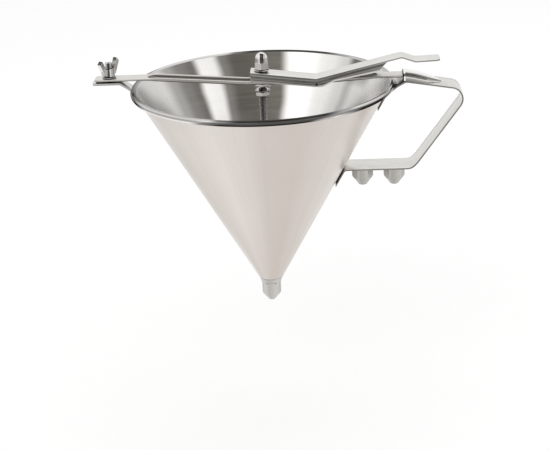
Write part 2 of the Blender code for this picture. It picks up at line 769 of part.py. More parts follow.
def groove_stations(tab, half):
    """Return the hollow of the channel, which narrows to a point at both flat tabs."""
    end_shares = ((-0.1, 0.3), (0, 0.6), (0.25, 0.85), (0.8, 1))
    widths = {-MID_FLAT_BACK: half, PIVOT_X + MID_FLAT_BACK: half}
    for along_share, width_share in end_shares:
        widths[-tab + along_share * CHANNEL_RAMP] = half * width_share
        widths[tab - along_share * CHANNEL_RAMP] = half * width_share
    stations = []
    for x in sorted(widths):
        floor = bar_low(x) + BAR_SHEET - GROOVE_SINK
        stations.append((x, floor, floor + FLANGE_RISE + OVERRUN, widths[x]))
    return stations


def make_stud():
    """Stand the stud on the lug, with a shouldered foot between lug and bridge."""
    centre = (-RIM_RADIUS - STUD_OUT, 0)
    foot_low = LUG_TOP + SEAM
    foot_top = foot_low + WASHER_THICKNESS
    top = FAR_TAB_HEIGHT + BAR_SHEET + STUD_ABOVE_TAB
    profile = [
        (0, foot_low),
        (STUD_FOOT_RADIUS, foot_low),
        (STUD_FOOT_RADIUS, foot_top),
        (STUD_RADIUS, foot_top),
        (STUD_RADIUS, top - 2 * EDGE_BREAK),
        (STUD_RADIUS - 2 * EDGE_BREAK, top),
        (0, top),
    ]
    return lathe("stud", profile, ROUND_SIDES, STEEL_POLISHED, centre)


def make_wing_nut():
    """Make the wing nut and the washer that it presses on the bridge."""
    x = -RIM_RADIUS - STUD_OUT
    washer_low = FAR_TAB_HEIGHT + BAR_SHEET + SEAM
    washer_top = washer_low + WASHER_THICKNESS
    bore = STUD_RADIUS + SEAM
    tube("wing_washer", bore, WASHER_RADIUS, washer_low, washer_top, STEEL_POLISHED, (x, 0))
    base = washer_top + SEAM
    hub_top = WING_HUB_RADIUS * WING_HUB_TOP_SHARE
    hub_profile = [
        (0, base),
        (WING_HUB_RADIUS - EDGE_BREAK, base),
        (WING_HUB_RADIUS, base + EDGE_BREAK),
        (hub_top, base + WING_HUB_HEIGHT),
        (0, base + WING_HUB_HEIGHT),
    ]
    wing_nut = lathe("wing_nut", hub_profile, ROUND_SIDES, STEEL_POLISHED, (x, 0))
    half_shares = (
        (0.00, 0.06),
        (0.36, 0.08),
        (0.66, 0.32),
        (0.93, 0.62),
        (1.00, 0.80),
        (0.99, 0.95),
        (0.90, 1.00),
        (0.76, 0.97),
        (0.62, 0.84),
        (0.44, 0.56),
        (0.28, 0.44),
        (0.00, 0.44),
    )
    outline = [(WING_SPAN / 2 * out, base + WING_HEIGHT * up) for out, up in half_shares]
    outline += [(-out, up) for out, up in outline[-2:0:-1]]
    wings = bmesh.new()
    near = [wings.verts.new((out, -WING_SHEET / 2, up)) for out, up in outline]
    far = [wings.verts.new((out, WING_SHEET / 2, up)) for out, up in outline]
    wings.faces.new(near)
    wings.faces.new(far)
    for index in range(len(outline)):
        after = (index + 1) % len(outline)
        wings.faces.new([near[index], near[after], far[after], far[index]])
    blades = add_object("wing_blades", wings)
    blades.location = (x, 0, 0)
    blades.rotation_euler = (0, 0, WING_TURN)
    cut(wing_nut, blades, "UNION")
    bore_end = (x, 0, base + WING_HEIGHT)
    cut(wing_nut, rod_along("wing_bore", (x, 0, washer_low), bore_end, bore))
    move_origin(wing_nut, (x, 0, base))
    return wing_nut


def lever_top(x):
    """Return the height of the lever's upper face at this distance along the bridge."""
    if x < PIVOT_X:
        return LEVER_VEE_HEIGHT + (PIVOT_X - x) * LEVER_BACK_SLOPE
    if x < LEVER_PEAK_X:
        return LEVER_VEE_HEIGHT + (x - PIVOT_X) * LEVER_PEAK_SLOPE
    peak = LEVER_VEE_HEIGHT + LEVER_PEAK_RISE
    tail = LEVER_END_X - LEVER_PEAK_X
    bend = tail * THUMB_BEND_SHARE
    out = x - LEVER_PEAK_X
    return peak - min(out / bend, 1) * THUMB_DROP + max(out - bend, 0) / tail * LEVER_SHEET


def make_lever():
    """Fold the thumb lever: an upside-down channel with a V at its pivot and a flat thumb plate."""
    half = LEVER_WIDTH / 2
    vee_low = PIVOT_HEIGHT - PIN_RADIUS - SEAM - PIN_WALL
    back = -LEVER_BACK
    back_low = lever_top(back) - LEVER_BACK_FLANGE
    end_low = lever_top(FLANGE_END_X) - FLANGE_END_DEPTH
    slant_x = FLANGE_END_X + FLANGE_SLANT
    corner = LEVER_WIDTH / 6
    tail = LEVER_END_X - LEVER_PEAK_X
    stations = [
        (back, back_low + 2 * LEVER_SHEET, lever_top(back), half),
        (back + LEVER_SHEET, back_low + LEVER_SHEET / 3, lever_top(back + LEVER_SHEET), half),
        (back + 3 * LEVER_SHEET, back_low, lever_top(back + 3 * LEVER_SHEET), half),
        (PIVOT_X - PIN_RADIUS, vee_low, lever_top(PIVOT_X - PIN_RADIUS), half),
        (PIVOT_X + PIN_RADIUS, vee_low, lever_top(PIVOT_X + PIN_RADIUS), half),
        (FLANGE_END_X, end_low, lever_top(FLANGE_END_X), half),
        (slant_x, lever_top(slant_x) - LEVER_PLATE, lever_top(slant_x), half),
    ]
    for x in (
        LEVER_PEAK_X - LEVER_SHEET,
        LEVER_PEAK_X + LEVER_SHEET,
        LEVER_PEAK_X + tail * (THUMB_BEND_SHARE - THUMB_BEND_SPREAD_SHARE),
        LEVER_PEAK_X + tail * (THUMB_BEND_SHARE + THUMB_BEND_SPREAD_SHARE),
    ):
        stations.append((x, lever_top(x) - LEVER_PLATE, lever_top(x), half))
    for along, inset in CORNER_SHARES[::-1]:
        x = LEVER_END_X - along * corner
        stations.append((x, lever_top(x) - LEVER_PLATE, lever_top(x), half - inset * corner))
    lever = loft("lever", stations, STEEL_BRUSHED, round_top=EDGE_BREAK * 2)
    inner = half - LEVER_SHEET
    hollow = []
    for x in (back - OVERRUN, PIVOT_X - PIN_RADIUS, PIVOT_X + PIN_RADIUS, slant_x + LEVER_SHEET):
        hollow.append((x, vee_low - OVERRUN, lever_top(x) - LEVER_PLATE, inner))
    cut(lever, loft("lever_hollow", hollow))
    pin_side = half + OVERRUN
    pin_start = (PIVOT_X, -pin_side, PIVOT_HEIGHT)
    pin_end = (PIVOT_X, pin_side, PIVOT_HEIGHT)
    cut(lever, rod_along("lever_pin_hole", pin_start, pin_end, PIN_RADIUS + SEAM, ROUND_SIDES // 2))
    slot_half = ROD_RADIUS + 4 * SEAM
    slot_low = lever_top(0) - LEVER_PLATE - LEVER_SHEET
    slot_top = lever_top(-slot_half) + LEVER_SHEET
    slot = [(side * slot_half, slot_low, slot_top, ROD_RADIUS + SEAM) for side in (-1, 1)]
    cut(lever, loft("lever_rod_slot", slot))
    pin_ends = [(PIVOT_X, side * half, PIVOT_HEIGHT) for side in (-1, 1)]
    pin = rod_along("lever_pin", *pin_ends, PIN_RADIUS, ROUND_SIDES // 2, STEEL_POLISHED)
    pivot = (PIVOT_X, 0, PIVOT_HEIGHT)
    for item in (lever, pin):
        move_origin(item, pivot)
    for cutter in ("lever_hollow", "lever_pin_hole", "lever_rod_slot"):
        move_origin(bpy.data.objects[cutter], pivot)
    cutters = [bpy.data.objects[cutter] for cutter in ("lever_hollow", "lever_pin_hole", "lever_rod_slot")]
    gather("lever_pivot", pivot, [lever, pin] + cutters)


def make_guide():
    """Make the guide bush in the bridge and the nut that holds it from below."""
    bore = ROD_RADIUS + SEAM
    flange_low = BAR_TOP + SEAM
    flange_top = flange_low + BUSH_FLANGE_HEIGHT
    profile = [
        (bore, BUSH_BOTTOM),
        (BUSH_RADIUS, BUSH_BOTTOM),
        (BUSH_RADIUS, flange_low),
        (BUSH_FLANGE_RADIUS, flange_low),
        (BUSH_FLANGE_RADIUS, flange_top),
        (bore, flange_top),
    ]
    lathe("guide_bush", profile, ROUND_SIDES, STEEL_TURNED)
    top = BAR_MID_HEIGHT - SEAM
    inner = BUSH_RADIUS + SEAM
    upper = chamfer(GUIDE_NUT_FLATS, top, -1)
    corner = upper[1][0]
    collar = max(GUIDE_COLLAR_RADIUS, corner)
    lower = (GUIDE_NUT_FLATS / 2 * CHAMFER_START_SHARE, BUSH_BOTTOM), (collar, BUSH_BOTTOM)
    before = [(inner, top), upper[0]]
    after = [
        (collar + SEAM, BUSH_BOTTOM),
        (collar + SEAM, GUIDE_NUT_BOTTOM),
        (inner, GUIDE_NUT_BOTTOM),
    ]
    hex_piece("guide_nut", GUIDE_NUT_FLATS, before, upper, lower, after, STEEL_POLISHED)


def make_plunger():
    """Make the valve rod with its cap nut, washers, stop nut and sealed plug."""
    rod_top = CAP_BASE + CAP_HEX_HEIGHT + CAP_DOME_RADIUS / 2
    groove_low = RING_HEIGHT - RING_SECTION - SEAM
    groove_top = RING_HEIGHT + RING_SECTION + SEAM
    groove_floor = RING_RADIUS - RING_SECTION - SEAM
    socket = ROD_RADIUS + SEAM
    socket_floor = groove_top - RING_SECTION
    rod_low = socket_floor + SEAM
    rod_profile = [
        (0, rod_low),
        (ROD_RADIUS - EDGE_BREAK, rod_low),
        (ROD_RADIUS, rod_low + EDGE_BREAK),
        (ROD_RADIUS, rod_top - EDGE_BREAK),
        (ROD_RADIUS - EDGE_BREAK, rod_top),
        (0, rod_top),
    ]
    rod = lathe("rod", rod_profile, ROUND_SIDES, STEEL_TURNED)
    washer_top = ROD_WASHER_HEIGHT + WASHER_THICKNESS
    washer = tube("rod_washer", socket, ROD_WASHER_RADIUS, ROD_WASHER_HEIGHT, washer_top, STEEL_POLISHED)
    cap = make_cap_nut(rod_top, socket)
    stop_washer_low = STOP_TOP - WASHER_THICKNESS
    stop_washer = tube("stop_washer", socket, ROD_WASHER_RADIUS, stop_washer_low, STOP_TOP, STEEL_POLISHED)
    nut_top = stop_washer_low - SEAM
    stop_nut = plain_nut("stop_nut", CAP_FLATS, socket, nut_top - STOP_NUT_HEIGHT, nut_top, STEEL_POLISHED)
    nose_low = SEAT_BOTTOM - (OUTLET_BORE - PLUG_NOSE_RADIUS)
    lip = groove_floor + RING_SECTION * PLUG_LIP_SHARE
    plug_profile = [
        (0, nose_low),
        (PLUG_NOSE_RADIUS, nose_low),
        (lip, groove_low - SEAM),
        (lip, groove_low),
        (groove_floor, groove_low),
        (groove_floor, groove_top),
        (PLUG_FLANGE_RADIUS, groove_top),
        (PLUG_FLANGE_RADIUS, groove_top + GASKET_THICKNESS),
        (PLUG_HUB_RADIUS, groove_top + 2 * GASKET_THICKNESS),
        (PLUG_HUB_RADIUS, PLUG_TOP - EDGE_BREAK),
        (PLUG_HUB_RADIUS - EDGE_BREAK, PLUG_TOP),
        (socket, PLUG_TOP),
        (socket, socket_floor),
        (0, socket_floor),
    ]
    plug = lathe("plug", plug_profile, ROUND_SIDES, STEEL_TURNED)
    ring_profile = []
    for step in range(ROUND_SIDES // 3):
        angle = 2 * math.pi * step / (ROUND_SIDES // 3)
        ring_profile.append(
            (RING_RADIUS + RING_SECTION * math.cos(angle), RING_HEIGHT + RING_SECTION * math.sin(angle))
        )
    ring = lathe("plug_ring", ring_profile, ROUND_SIDES, DARK_RUBBER)
    gather("plunger_line", (0, 0, CAP_BASE), [rod, washer, cap, stop_washer, stop_nut, plug, ring])


def make_cap_nut(rod_top, bore):
    """Make the domed nut on top of the rod, with a blind bore."""
    cylinder_top = CAP_BASE + CAP_HEIGHT - CAP_DOME_RADIUS
    upper = chamfer(CAP_FLATS, CAP_BASE + CAP_HEX_HEIGHT, -1)
    lower = chamfer(CAP_FLATS, CAP_BASE, 1)
    dome = []
    steps = HEX_SIDES // 4
    for step in range(steps + 1):
        angle = math.pi / 2 * step / steps
        dome.append((CAP_DOME_RADIUS * math.sin(angle), cylinder_top + CAP_DOME_RADIUS * math.cos(angle)))
    before = dome + [(CAP_DOME_RADIUS, upper[0][1]), upper[0]]
    after = [lower[0], (bore, CAP_BASE), (bore, rod_top + SEAM), (0, rod_top + SEAM)]
    return hex_piece("cap_nut", CAP_FLATS, before, upper, lower, after, STEEL_POLISHED)


def main():
    """Build every piece."""
    clear_scene()
    make_hopper()
    make_outlet()
    make_outlet_nozzle()
    make_handle()
    make_hood()
    make_spare_nozzles()
    make_lug()
    make_bar()
    make_stud()
    make_wing_nut()
    make_lever()
    make_guide()
    make_plunger()


main()
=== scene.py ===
"""Looks of the dispensing funnel: formed sheet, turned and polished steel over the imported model."""

import json
import math

import bmesh
import bpy
from bpy.props import FloatProperty, FloatVectorProperty, PointerProperty
from bpy.types import NodeSocket, Operator, Panel, PropertyGroup
from mathutils import Matrix, Vector

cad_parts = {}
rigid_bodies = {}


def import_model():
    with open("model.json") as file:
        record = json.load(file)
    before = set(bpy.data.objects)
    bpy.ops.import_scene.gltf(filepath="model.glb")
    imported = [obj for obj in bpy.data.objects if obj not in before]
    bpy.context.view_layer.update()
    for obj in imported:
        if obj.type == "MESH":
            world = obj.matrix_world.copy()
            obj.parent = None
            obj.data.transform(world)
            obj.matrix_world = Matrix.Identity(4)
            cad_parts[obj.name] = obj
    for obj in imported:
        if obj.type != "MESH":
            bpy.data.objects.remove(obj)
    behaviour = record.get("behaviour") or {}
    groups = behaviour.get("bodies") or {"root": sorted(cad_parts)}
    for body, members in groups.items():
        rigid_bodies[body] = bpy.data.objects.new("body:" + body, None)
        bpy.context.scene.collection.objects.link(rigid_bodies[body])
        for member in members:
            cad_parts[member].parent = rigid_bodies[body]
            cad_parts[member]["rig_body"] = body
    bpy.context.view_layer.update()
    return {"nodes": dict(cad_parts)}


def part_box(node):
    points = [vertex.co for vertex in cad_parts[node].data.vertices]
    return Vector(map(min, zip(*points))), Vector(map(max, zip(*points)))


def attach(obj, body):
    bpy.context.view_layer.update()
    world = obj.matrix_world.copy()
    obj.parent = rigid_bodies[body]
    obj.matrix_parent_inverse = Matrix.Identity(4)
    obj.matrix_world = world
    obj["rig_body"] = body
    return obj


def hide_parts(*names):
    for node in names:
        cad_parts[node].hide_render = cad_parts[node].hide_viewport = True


bl_info = {
    "name": "Dispensing Funnel",
    "version": (1, 0, 0),
    "blender": (4, 5, 0),
    "location": "3D View > Sidebar > Funnel",
    "description": "Builds the formed steel pieces of a hand-held dispensing funnel and their finishes",
    "category": "Add Mesh",
}

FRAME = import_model()
NODES = FRAME["nodes"]

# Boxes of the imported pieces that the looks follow
HOPPER_LOW, HOPPER_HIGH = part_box("hopper")
OUTLET_LOW, OUTLET_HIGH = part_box("outlet")
NOZZLE_LOW, NOZZLE_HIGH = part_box("nozzle")
HANDLE_LOW, HANDLE_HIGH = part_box("handle")
HOOD_LOW, HOOD_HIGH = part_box("hood")
LUG_LOW, LUG_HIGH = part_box("lug")
BAR_LOW, BAR_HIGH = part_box("bar")
BUSH_LOW, BUSH_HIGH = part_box("guide_bush")
LEVER_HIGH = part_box("lever")[1]
PIN_LOW, PIN_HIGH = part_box("lever_pin")
ROD_LOW, ROD_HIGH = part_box("rod")
CAP_LOW, CAP_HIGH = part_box("cap_nut")
WING_LOW, WING_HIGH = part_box("wing_nut")
STUD_LOW, STUD_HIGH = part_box("stud")
PIVOT = (PIN_LOW + PIN_HIGH) / 2
PIN_RADIUS = (PIN_HIGH.z - PIN_LOW.z) / 2
STUD_X = (STUD_LOW.x + STUD_HIGH.x) / 2

# Fineness of the meshes
HOPPER_SIDES = 288
CURL_STEPS = 40
TURNED_SIDES = 96
HEX_SIDES = 120
HOOD_STEPS = 60
ARCH_STEPS = 36
BAR_STEPS = 46
ARC_STEP = math.radians(4)
CASTING_VOXEL = 0.00018
SHARP_ANGLE = math.radians(32)
CASTING_SHARP_ANGLE = math.radians(70)

# Forms of the pieces, as shares of the sizes that they follow
HEX_FLATS = 6
CHAMFER_START_SHARE = 0.94
CHAMFER_RISE_SHARE = 0.45
NOZZLE_BORE_SHARE = 0.6
LEG_THIN_SHARE = 0.75
RIM_PASS_SHARE = 1.35
LUG_FOOT_SHARE = 0.9
LUG_END_SHARE = 0.02
HUB_TOP_SHARE = 0.82
LEVER_END_SHARE = 0.98
LEVER_PLATE_SHARE = 1.03
FOLD_DEPTH_SHARE = 0.86
INNER_FOLD_DEPTH_SHARE = 0.8
SIDE_LINE_SHARE = 0.4
BACK_CORNER_LENGTH_SHARE = 2.5
BACK_CORNER_DEPTH_SHARE = 2.2
VEE_BACK_SHARE = 1.6
VEE_FRONT_SHARE = 5
BUSH_HOLE_RADIUS = 0.0041

# The rounded arches of the hood: 1 is a true ellipse, and less is squarer
ARCH_POWER = 0.85
# Shares of the hood's rise and of its half width, along the hood from its mouth to its point
HOOD_FORM_SHARES = (
    (0.00, 1.00, 1.00),
    (0.14, 1.00, 1.00),
    (0.30, 0.98, 1.00),
    (0.45, 0.89, 0.95),
    (0.60, 0.74, 0.86),
    (0.72, 0.58, 0.72),
    (0.84, 0.40, 0.52),
    (0.93, 0.26, 0.31),
    (1.00, 0.15, 0.12),
)
# Outline of one wing, as shares of half its span and of the nut's height
WING_FORM_SHARES = (
    (0.34, 0.03),
    (0.50, 0.06),
    (0.60, 0.14),
    (0.80, 0.47),
    (1.00, 0.80),
    (1.00, 0.82),
    (0.78, 1.00),
    (0.76, 1.00),
    (0.64, 0.82),
    (0.53, 0.64),
    (0.44, 0.50),
    (0.34, 0.44),
)

# Shares of the dark tone in the cone's painted reflection bands outside and painted reflection streaks inside, from
# its left side across its axis to its right side
SATIN_PAINTED_REFLECTION_SHARES = (
    *((0.00, 0.75), (0.03, 0.36), (0.09, 0.76), (0.18, 0.40), (0.29, 0.04), (0.41, 0.26)),
    *((0.54, 0.70), (0.67, 0.80), (0.79, 0.58), (0.89, 0.34), (0.95, 0.00), (1.00, 0.00)),
)
MIRROR_PAINTED_REFLECTION_SHARES = (
    *((0.000, 0.50), (0.030, 0.30), (0.055, 0.26), (0.095, 0.64), (0.135, 0.84), (0.180, 0.92)),
    *((0.215, 0.02), (0.262, 0.06), (0.300, 0.86), (0.350, 0.98), (0.550, 0.97), (0.605, 0.14)),
    *((0.660, 0.00), (0.780, 0.08), (0.845, 0.30), (0.880, 0.92), (0.930, 0.80), (0.962, 0.26)),
    (1.000, 0.52),
)
# Share of the painted black reflection band at the middle of the rim, from its left side to its right side
RIM_PAINTED_REFLECTION_BAND_SHARES = (
    *((0.00, 0.00), (0.25, 0.00), (0.30, 0.75), (0.37, 1.00), (0.67, 1.00), (0.75, 0.40), (0.79, 0.00)),
)
# Shares of the dark tone in the rim's painted highlights and painted reflection lines, from its underside over its
# outer side to its top:
# at the middle of its front, between there and its sides, and at its sides
BEAD_MIDDLE_PAINTED_REFLECTION_SHARES = (
    *((0.00, 1.00), (0.25, 1.00), (0.50, 0.93), (0.72, 0.92), (0.86, 1.00), (0.96, 0.98), (1.00, 0.90)),
)
BEAD_PAINTED_REFLECTION_SHARES = (
    *((0.00, 0.00), (0.12, 0.00), (0.30, 0.00), (0.40, 0.46), (0.60, 0.62)),
    *((0.78, 0.36), (0.90, 0.30), (0.96, 0.50), (1.00, 0.56)),
)
BEAD_SIDE_PAINTED_REFLECTION_SHARES = (
    *((0.00, 1.00), (0.30, 1.00), (0.54, 0.98), (0.66, 0.90)),
    *((0.76, 0.46), (0.88, 0.16), (0.95, 0.38), (1.00, 0.55)),
)
# Shares of the dark tone of painted reflections, from left-facing to right-facing sides
NUT_PAINTED_REFLECTION_SHARES = (
    *((0.00, 0.90), (0.08, 0.45), (0.16, 0.05), (0.22, 0.36), (0.28, 0.05), (0.36, 0.06), (0.40, 0.97)),
    *((0.69, 1.00), (0.73, 0.10), (0.77, 0.70), (0.82, 0.30), (0.88, 0.10), (0.95, 0.60), (1.00, 0.90)),
)
CAST_PAINTED_REFLECTION_SHARES = (
    *((0.00, 0.90), (0.10, 0.50), (0.20, 0.02), (0.34, 0.35), (0.40, 0.05), (0.46, 0.97)),
    *((0.62, 1.00), (0.68, 0.05), (0.80, 0.60), (0.90, 0.25), (1.00, 0.80)),
)
TURNED_PAINTED_REFLECTION_SHARES = (
    *((0.00, 0.70), (0.10, 0.20), (0.28, 0.42), (0.36, 0.95), (0.55, 0.72)),
    *((0.66, 0.30), (0.82, 0.10), (0.93, 0.46), (1.00, 0.85)),
)
# Shares of the dark tone of painted reflection on the hood and painted shade on the strip's edges, from front-facing
# to back-facing sides
HOOD_PAINTED_REFLECTION_SHARES = (
    *((0.00, 0.80), (0.05, 0.68), (0.10, 0.74), (0.13, 0.35), (0.18, 0.20), (0.24, 0.50)),
    *((0.31, 0.62), (0.36, 0.96), (0.43, 0.98), (0.46, 0.15), (0.50, 0.00), (1.00, 0.05)),
)
STRIP_PAINTED_SHADE_SHARES = (
    *((0.00, 0.86), (0.12, 0.75), (0.20, 0.30), (0.35, 0.02)),
    *((0.65, 0.02), (0.80, 0.30), (0.88, 0.75), (1.00, 0.86)),
)
# Shares of the dark tone of painted shade, from faces that look down to faces that look up
LUG_PAINTED_SHADE_SHARES = ((0.0, 0.75), (0.3, 0.85), (0.45, 0.55), (0.6, 0.35), (0.8, 0.25), (1.0, 0.0))
BRIDGE_PAINTED_SHADE_SHARES = (
    *((0.00, 1.00), (0.25, 0.98), (0.40, 0.42), (0.56, 0.36), (0.72, 0.20), (0.86, 0.02), (1.00, 0.05)),
)
LEVER_PAINTED_SHADE_SHARES = (
    *((0.00, 0.30), (0.30, 0.50), (0.45, 0.98), (0.56, 0.98)),
    *((0.70, 1.00), (0.84, 0.96), (0.90, 0.08), (1.00, 0.05)),
)
PIN_PAINTED_SHADE_SHARES = ((0.0, 0.55), (0.5, 0.45), (1.0, 0.3))

# Heights between which a change of the cone's tone begins and is complete: darker towards the bottom and a painted
# highlight outside, the end of a painted dark streak and softer painted reflection streaks inside
SATIN_DARKER_HEIGHTS = (-0.090, -0.150)
SATIN_PAINTED_HIGHLIGHT_HEIGHTS = (-0.085, -0.145)
MIRROR_SIDE_HEIGHTS = (-0.010, -0.020)
MIRROR_DEEP_HEIGHTS = (-0.040, -0.120)

# Depths of the finishes' relief
FINE_RELIEF = 0.00003
DRAWN_RELIEF = 0.00004
CAST_RELIEF = 0.00005
SATIN_RELIEF = 0.00006

ROD_THREAD = 0.0010
STUD_THREAD = 0.0008
# Share of the dark tone in the painted shade on the strip between the rim and the hood
ROOT_PAINTED_SHADE_SHARE = 0.84
# Distances from the hood's mouth, in its sheets, over which the painted shadow line and the painted highlight on the
# lip end
MOUTH_PAINTED_SHADOW_SHARES = (0.5, 0.75)
MOUTH_PAINTED_HIGHLIGHT_SHARES = (1.3, 1.9)
# Lines of the lever's grinding per metre, down its sides and along them
GRIND_DOWN = 820
GRIND_ALONG = 9
# Heights above the lever's lower edge between which the painted highlight line fades
PAINTED_HIGHLIGHT_HEIGHTS = (0.0014, 0.0010)
# Tone of the painted highlight line
PAINTED_HIGHLIGHT_TONE = (0.92, 0.91, 0.89)
BLACK = (0, 0, 0)
WHITE = (1, 1, 1)

# The photograph's point of view
CAMERA_AZIMUTH = math.radians(3.0)
CAMERA_ELEVATION = math.radians(15.61)
CAMERA_YAW = math.radians(0.22)
CAMERA_PITCH = math.radians(5.16)
CAMERA_ROLL = math.radians(2.6)
SENSOR_WIDTH = 36.0
VIEW_END = 40.0

# Each lamp's name, place, size and power
LAMPS = (
    ("key_light", (-0.60, -1.00, 1.00), 1.3, 2.2),
    ("fill_light", (1.15, -0.75, 0.45), 1.0, 0.8),
    ("top_light", (0.15, 0.75, 1.15), 1.2, 1.6),
)
LAMP_AIM = Vector((0, 0, -0.08))
SKY_TONE = (0.93, 0.93, 0.93)
SKY_POWER = 0.78
FLOOR_GLOW = 0.275


def length(name, default, description):
    """Describe a length of the funnel, in metres."""
    return FloatProperty(name=name, description=description, default=default, min=0, unit="LENGTH", precision=5)


def share(name, default, description):
    """Describe a share of a whole."""
    return FloatProperty(name=name, description=description, default=default, min=0, max=1, subtype="FACTOR")


def tone(name, default, description):
    """Describe a colour of a finish."""
    return FloatVectorProperty(
        name=name, description=description, default=default, size=3, min=0, max=1, subtype="COLOR"
    )


class ConeSizes(PropertyGroup):
    """Sizes of the cone, its rolled rim and its outlet."""

    rim_radius: length("Rim radius", HOPPER_HIGH.x, "Outer radius of the rolled rim")
    depth: length("Depth", 0.1605, "Height of the cone from the rim's top to the outlet collar")
    wall: length("Wall", 0.0009, "Thickness of the cone's sheet")
    curl_radius: length("Curl radius", 0.0022, "Outer radius of the rolled rim's section")
    curl_turn: share("Curl turn", 0.80, "How far round the rim is rolled")
    collar_radius: length("Collar radius", 0.0080, "Radius of the outlet collar")
    seam: length("Seam", 0.0003, "Room between pieces that are welded or seated on each other")


class HandleSizes(PropertyGroup):
    """Sizes of the handle strip and of the hood on it."""

    width: length("Width", HANDLE_HIGH.y - HANDLE_LOW.y, "Width of the strip")
    sheet: length("Sheet", 0.0012, "Thickness of the strip")
    edge: length("Edge radius", 0.0003, "Radius of the strip's dulled edges")
    leg_share: share("Leg share", 0.62, "Thickness of the hammered weld legs as a share of the strip's")
    upper_leg_depth: length("Upper leg depth", 0.0210, "Depth below the rim of the upper weld leg's end")
    lower_leg: length("Lower leg", 0.0128, "Drop of the lower weld leg below the strip")
    apex_out: length("Apex out", 0.0078, "Distance of the strip's top bend outside the rim")
    apex_height: length("Apex height", 0.0006, "Height of the strip's top bend above the rim")
    reach: length("Reach", 0.0570, "Distance of the shoulder outside the rim")
    shoulder_drop: length("Shoulder drop", 0.0075, "Depth of the shoulder below the rim")
    strip_depth: length("Lower strip depth", 0.0678, "Depth of the lower strip below the rim")
    corner_out: length("Lower corner", 0.0515, "Distance of the lower corner from the cone")
    corner_radius: length("Corner radius", 0.0090, "Radius of the shoulder and the lower corner")
    bend_radius: length("Bend radius", 0.0050, "Radius of the bends near the rim")
    hood_length: length("Hood length", HOOD_HIGH.x - HOOD_LOW.x, "Length of the hood along the strip")
    hood_rise: length("Hood rise", 0.0046, "Height of the hood above the strip at its mouth")
    hood_sheet: length("Hood sheet", 0.0012, "Thickness of the hood")


class BridgeSizes(PropertyGroup):
    """Sizes of the bridge bar, of its lug and of its stud."""

    width: length("Width", BAR_HIGH.y - BAR_LOW.y, "Width of the bar")
    sheet: length("Sheet", 0.0015, "Thickness of the bar")
    edge: length("Edge break", 0.00022, "Size of the broken edges")
    lip: length("Lip", 0.0009, "Rise of the channel's sides above the flat ends")
    drop: length("Drop", 0.0002, "Drop of the channel's sides below its web")
    # The dark line along the feet of the channel's sides is painted shadow
    foot: length("Foot line", 0.0008, "Height of the dark line along the feet of the channel's sides")
    sink: length("Groove sink", 0.0005, "Depth of the groove's floor below the flat ends")
    side: length("Side", 0.0015, "Thickness of the channel's sides")
    ramp: length("Ramp", 0.0070, "Length over which the channel's sides rise")
    near_ramp: length("Near ramp", 0.0240, "Length over which the sides run out towards the handle")
    tab_inset: length("Tab inset", 0.0140, "Distance inside the rim at which the flat ends begin")
    middle_height: length("Middle height", 0.0005, "Height of the bar's underside over the axis")
    far_height: length("Far end height", 0.0061, "Height of the underside at the stud")
    near_height: length("Near end height", 0.0024, "Height of the underside at the handle")
    middle_reach: length("Level stretch", 0.0120, "Reach of the level stretch beyond the axis and the pivot")
    gap_share: share("Front gap", 0.75, "Share of the level stretch without sides in front of the pivot")
    lug_sheet: length("Lug sheet", 0.0016, "Thickness of the lug")
    lug_neck: length("Lug neck", 0.0070, "Distance outside the rim at which the lug bends down")


class LeverSizes(PropertyGroup):
    """Sizes of the folded thumb lever."""

    sheet: length("Sheet", 0.0011, "Thickness of the lever's sheet")
    fold: length("Fold radius", 0.0008, "Outer radius of the folds along both sides")
    back: length("Back", 0.0086, "Reach of the lever behind the valve rod")
    peak_x: length("Peak", 0.1050, "Distance of the high bend from the axis")
    end_x: length("End", 0.1335, "Distance of the thumb plate's end from the axis")
    vee_height: length("Dip height", 0.0039, "Height of the lever's dip over the pivot")
    back_rise: length("Back rise", 0.0061, "Rise from the dip to the back end")
    peak_rise: length("Peak rise", 0.0149, "Rise from the dip to the high bend")
    thumb_drop: length("Thumb drop", 0.0036, "Drop from the high bend to the thumb plate")
    thumb_share: share("Thumb bend", 0.36, "Share of the end stretch that falls to the thumb plate")
    back_flange: length("Back flange", 0.0072, "Depth of the sides at the back end")
    flange_end_x: length("Flange end", 0.0870, "Distance at which the sides begin to run out")
    flange_end: length("Flange end depth", 0.0070, "Depth of the sides where they begin to run out")
    flange_mid_x: length("Flange middle", 0.0545, "Distance of the foot of the long slope from the axis")
    flange_mid: length("Flange middle depth", 0.0055, "Depth of the sides at the foot of the long slope")
    slant: length("Slant", 0.0070, "Length over which the sides run out")
    bend: length("Bend", 0.0013, "Half length of the bends along the lever")
    below_pin: length("Below the pin", 0.0008, "Depth of the sides and of the bridge's ears below the pin")


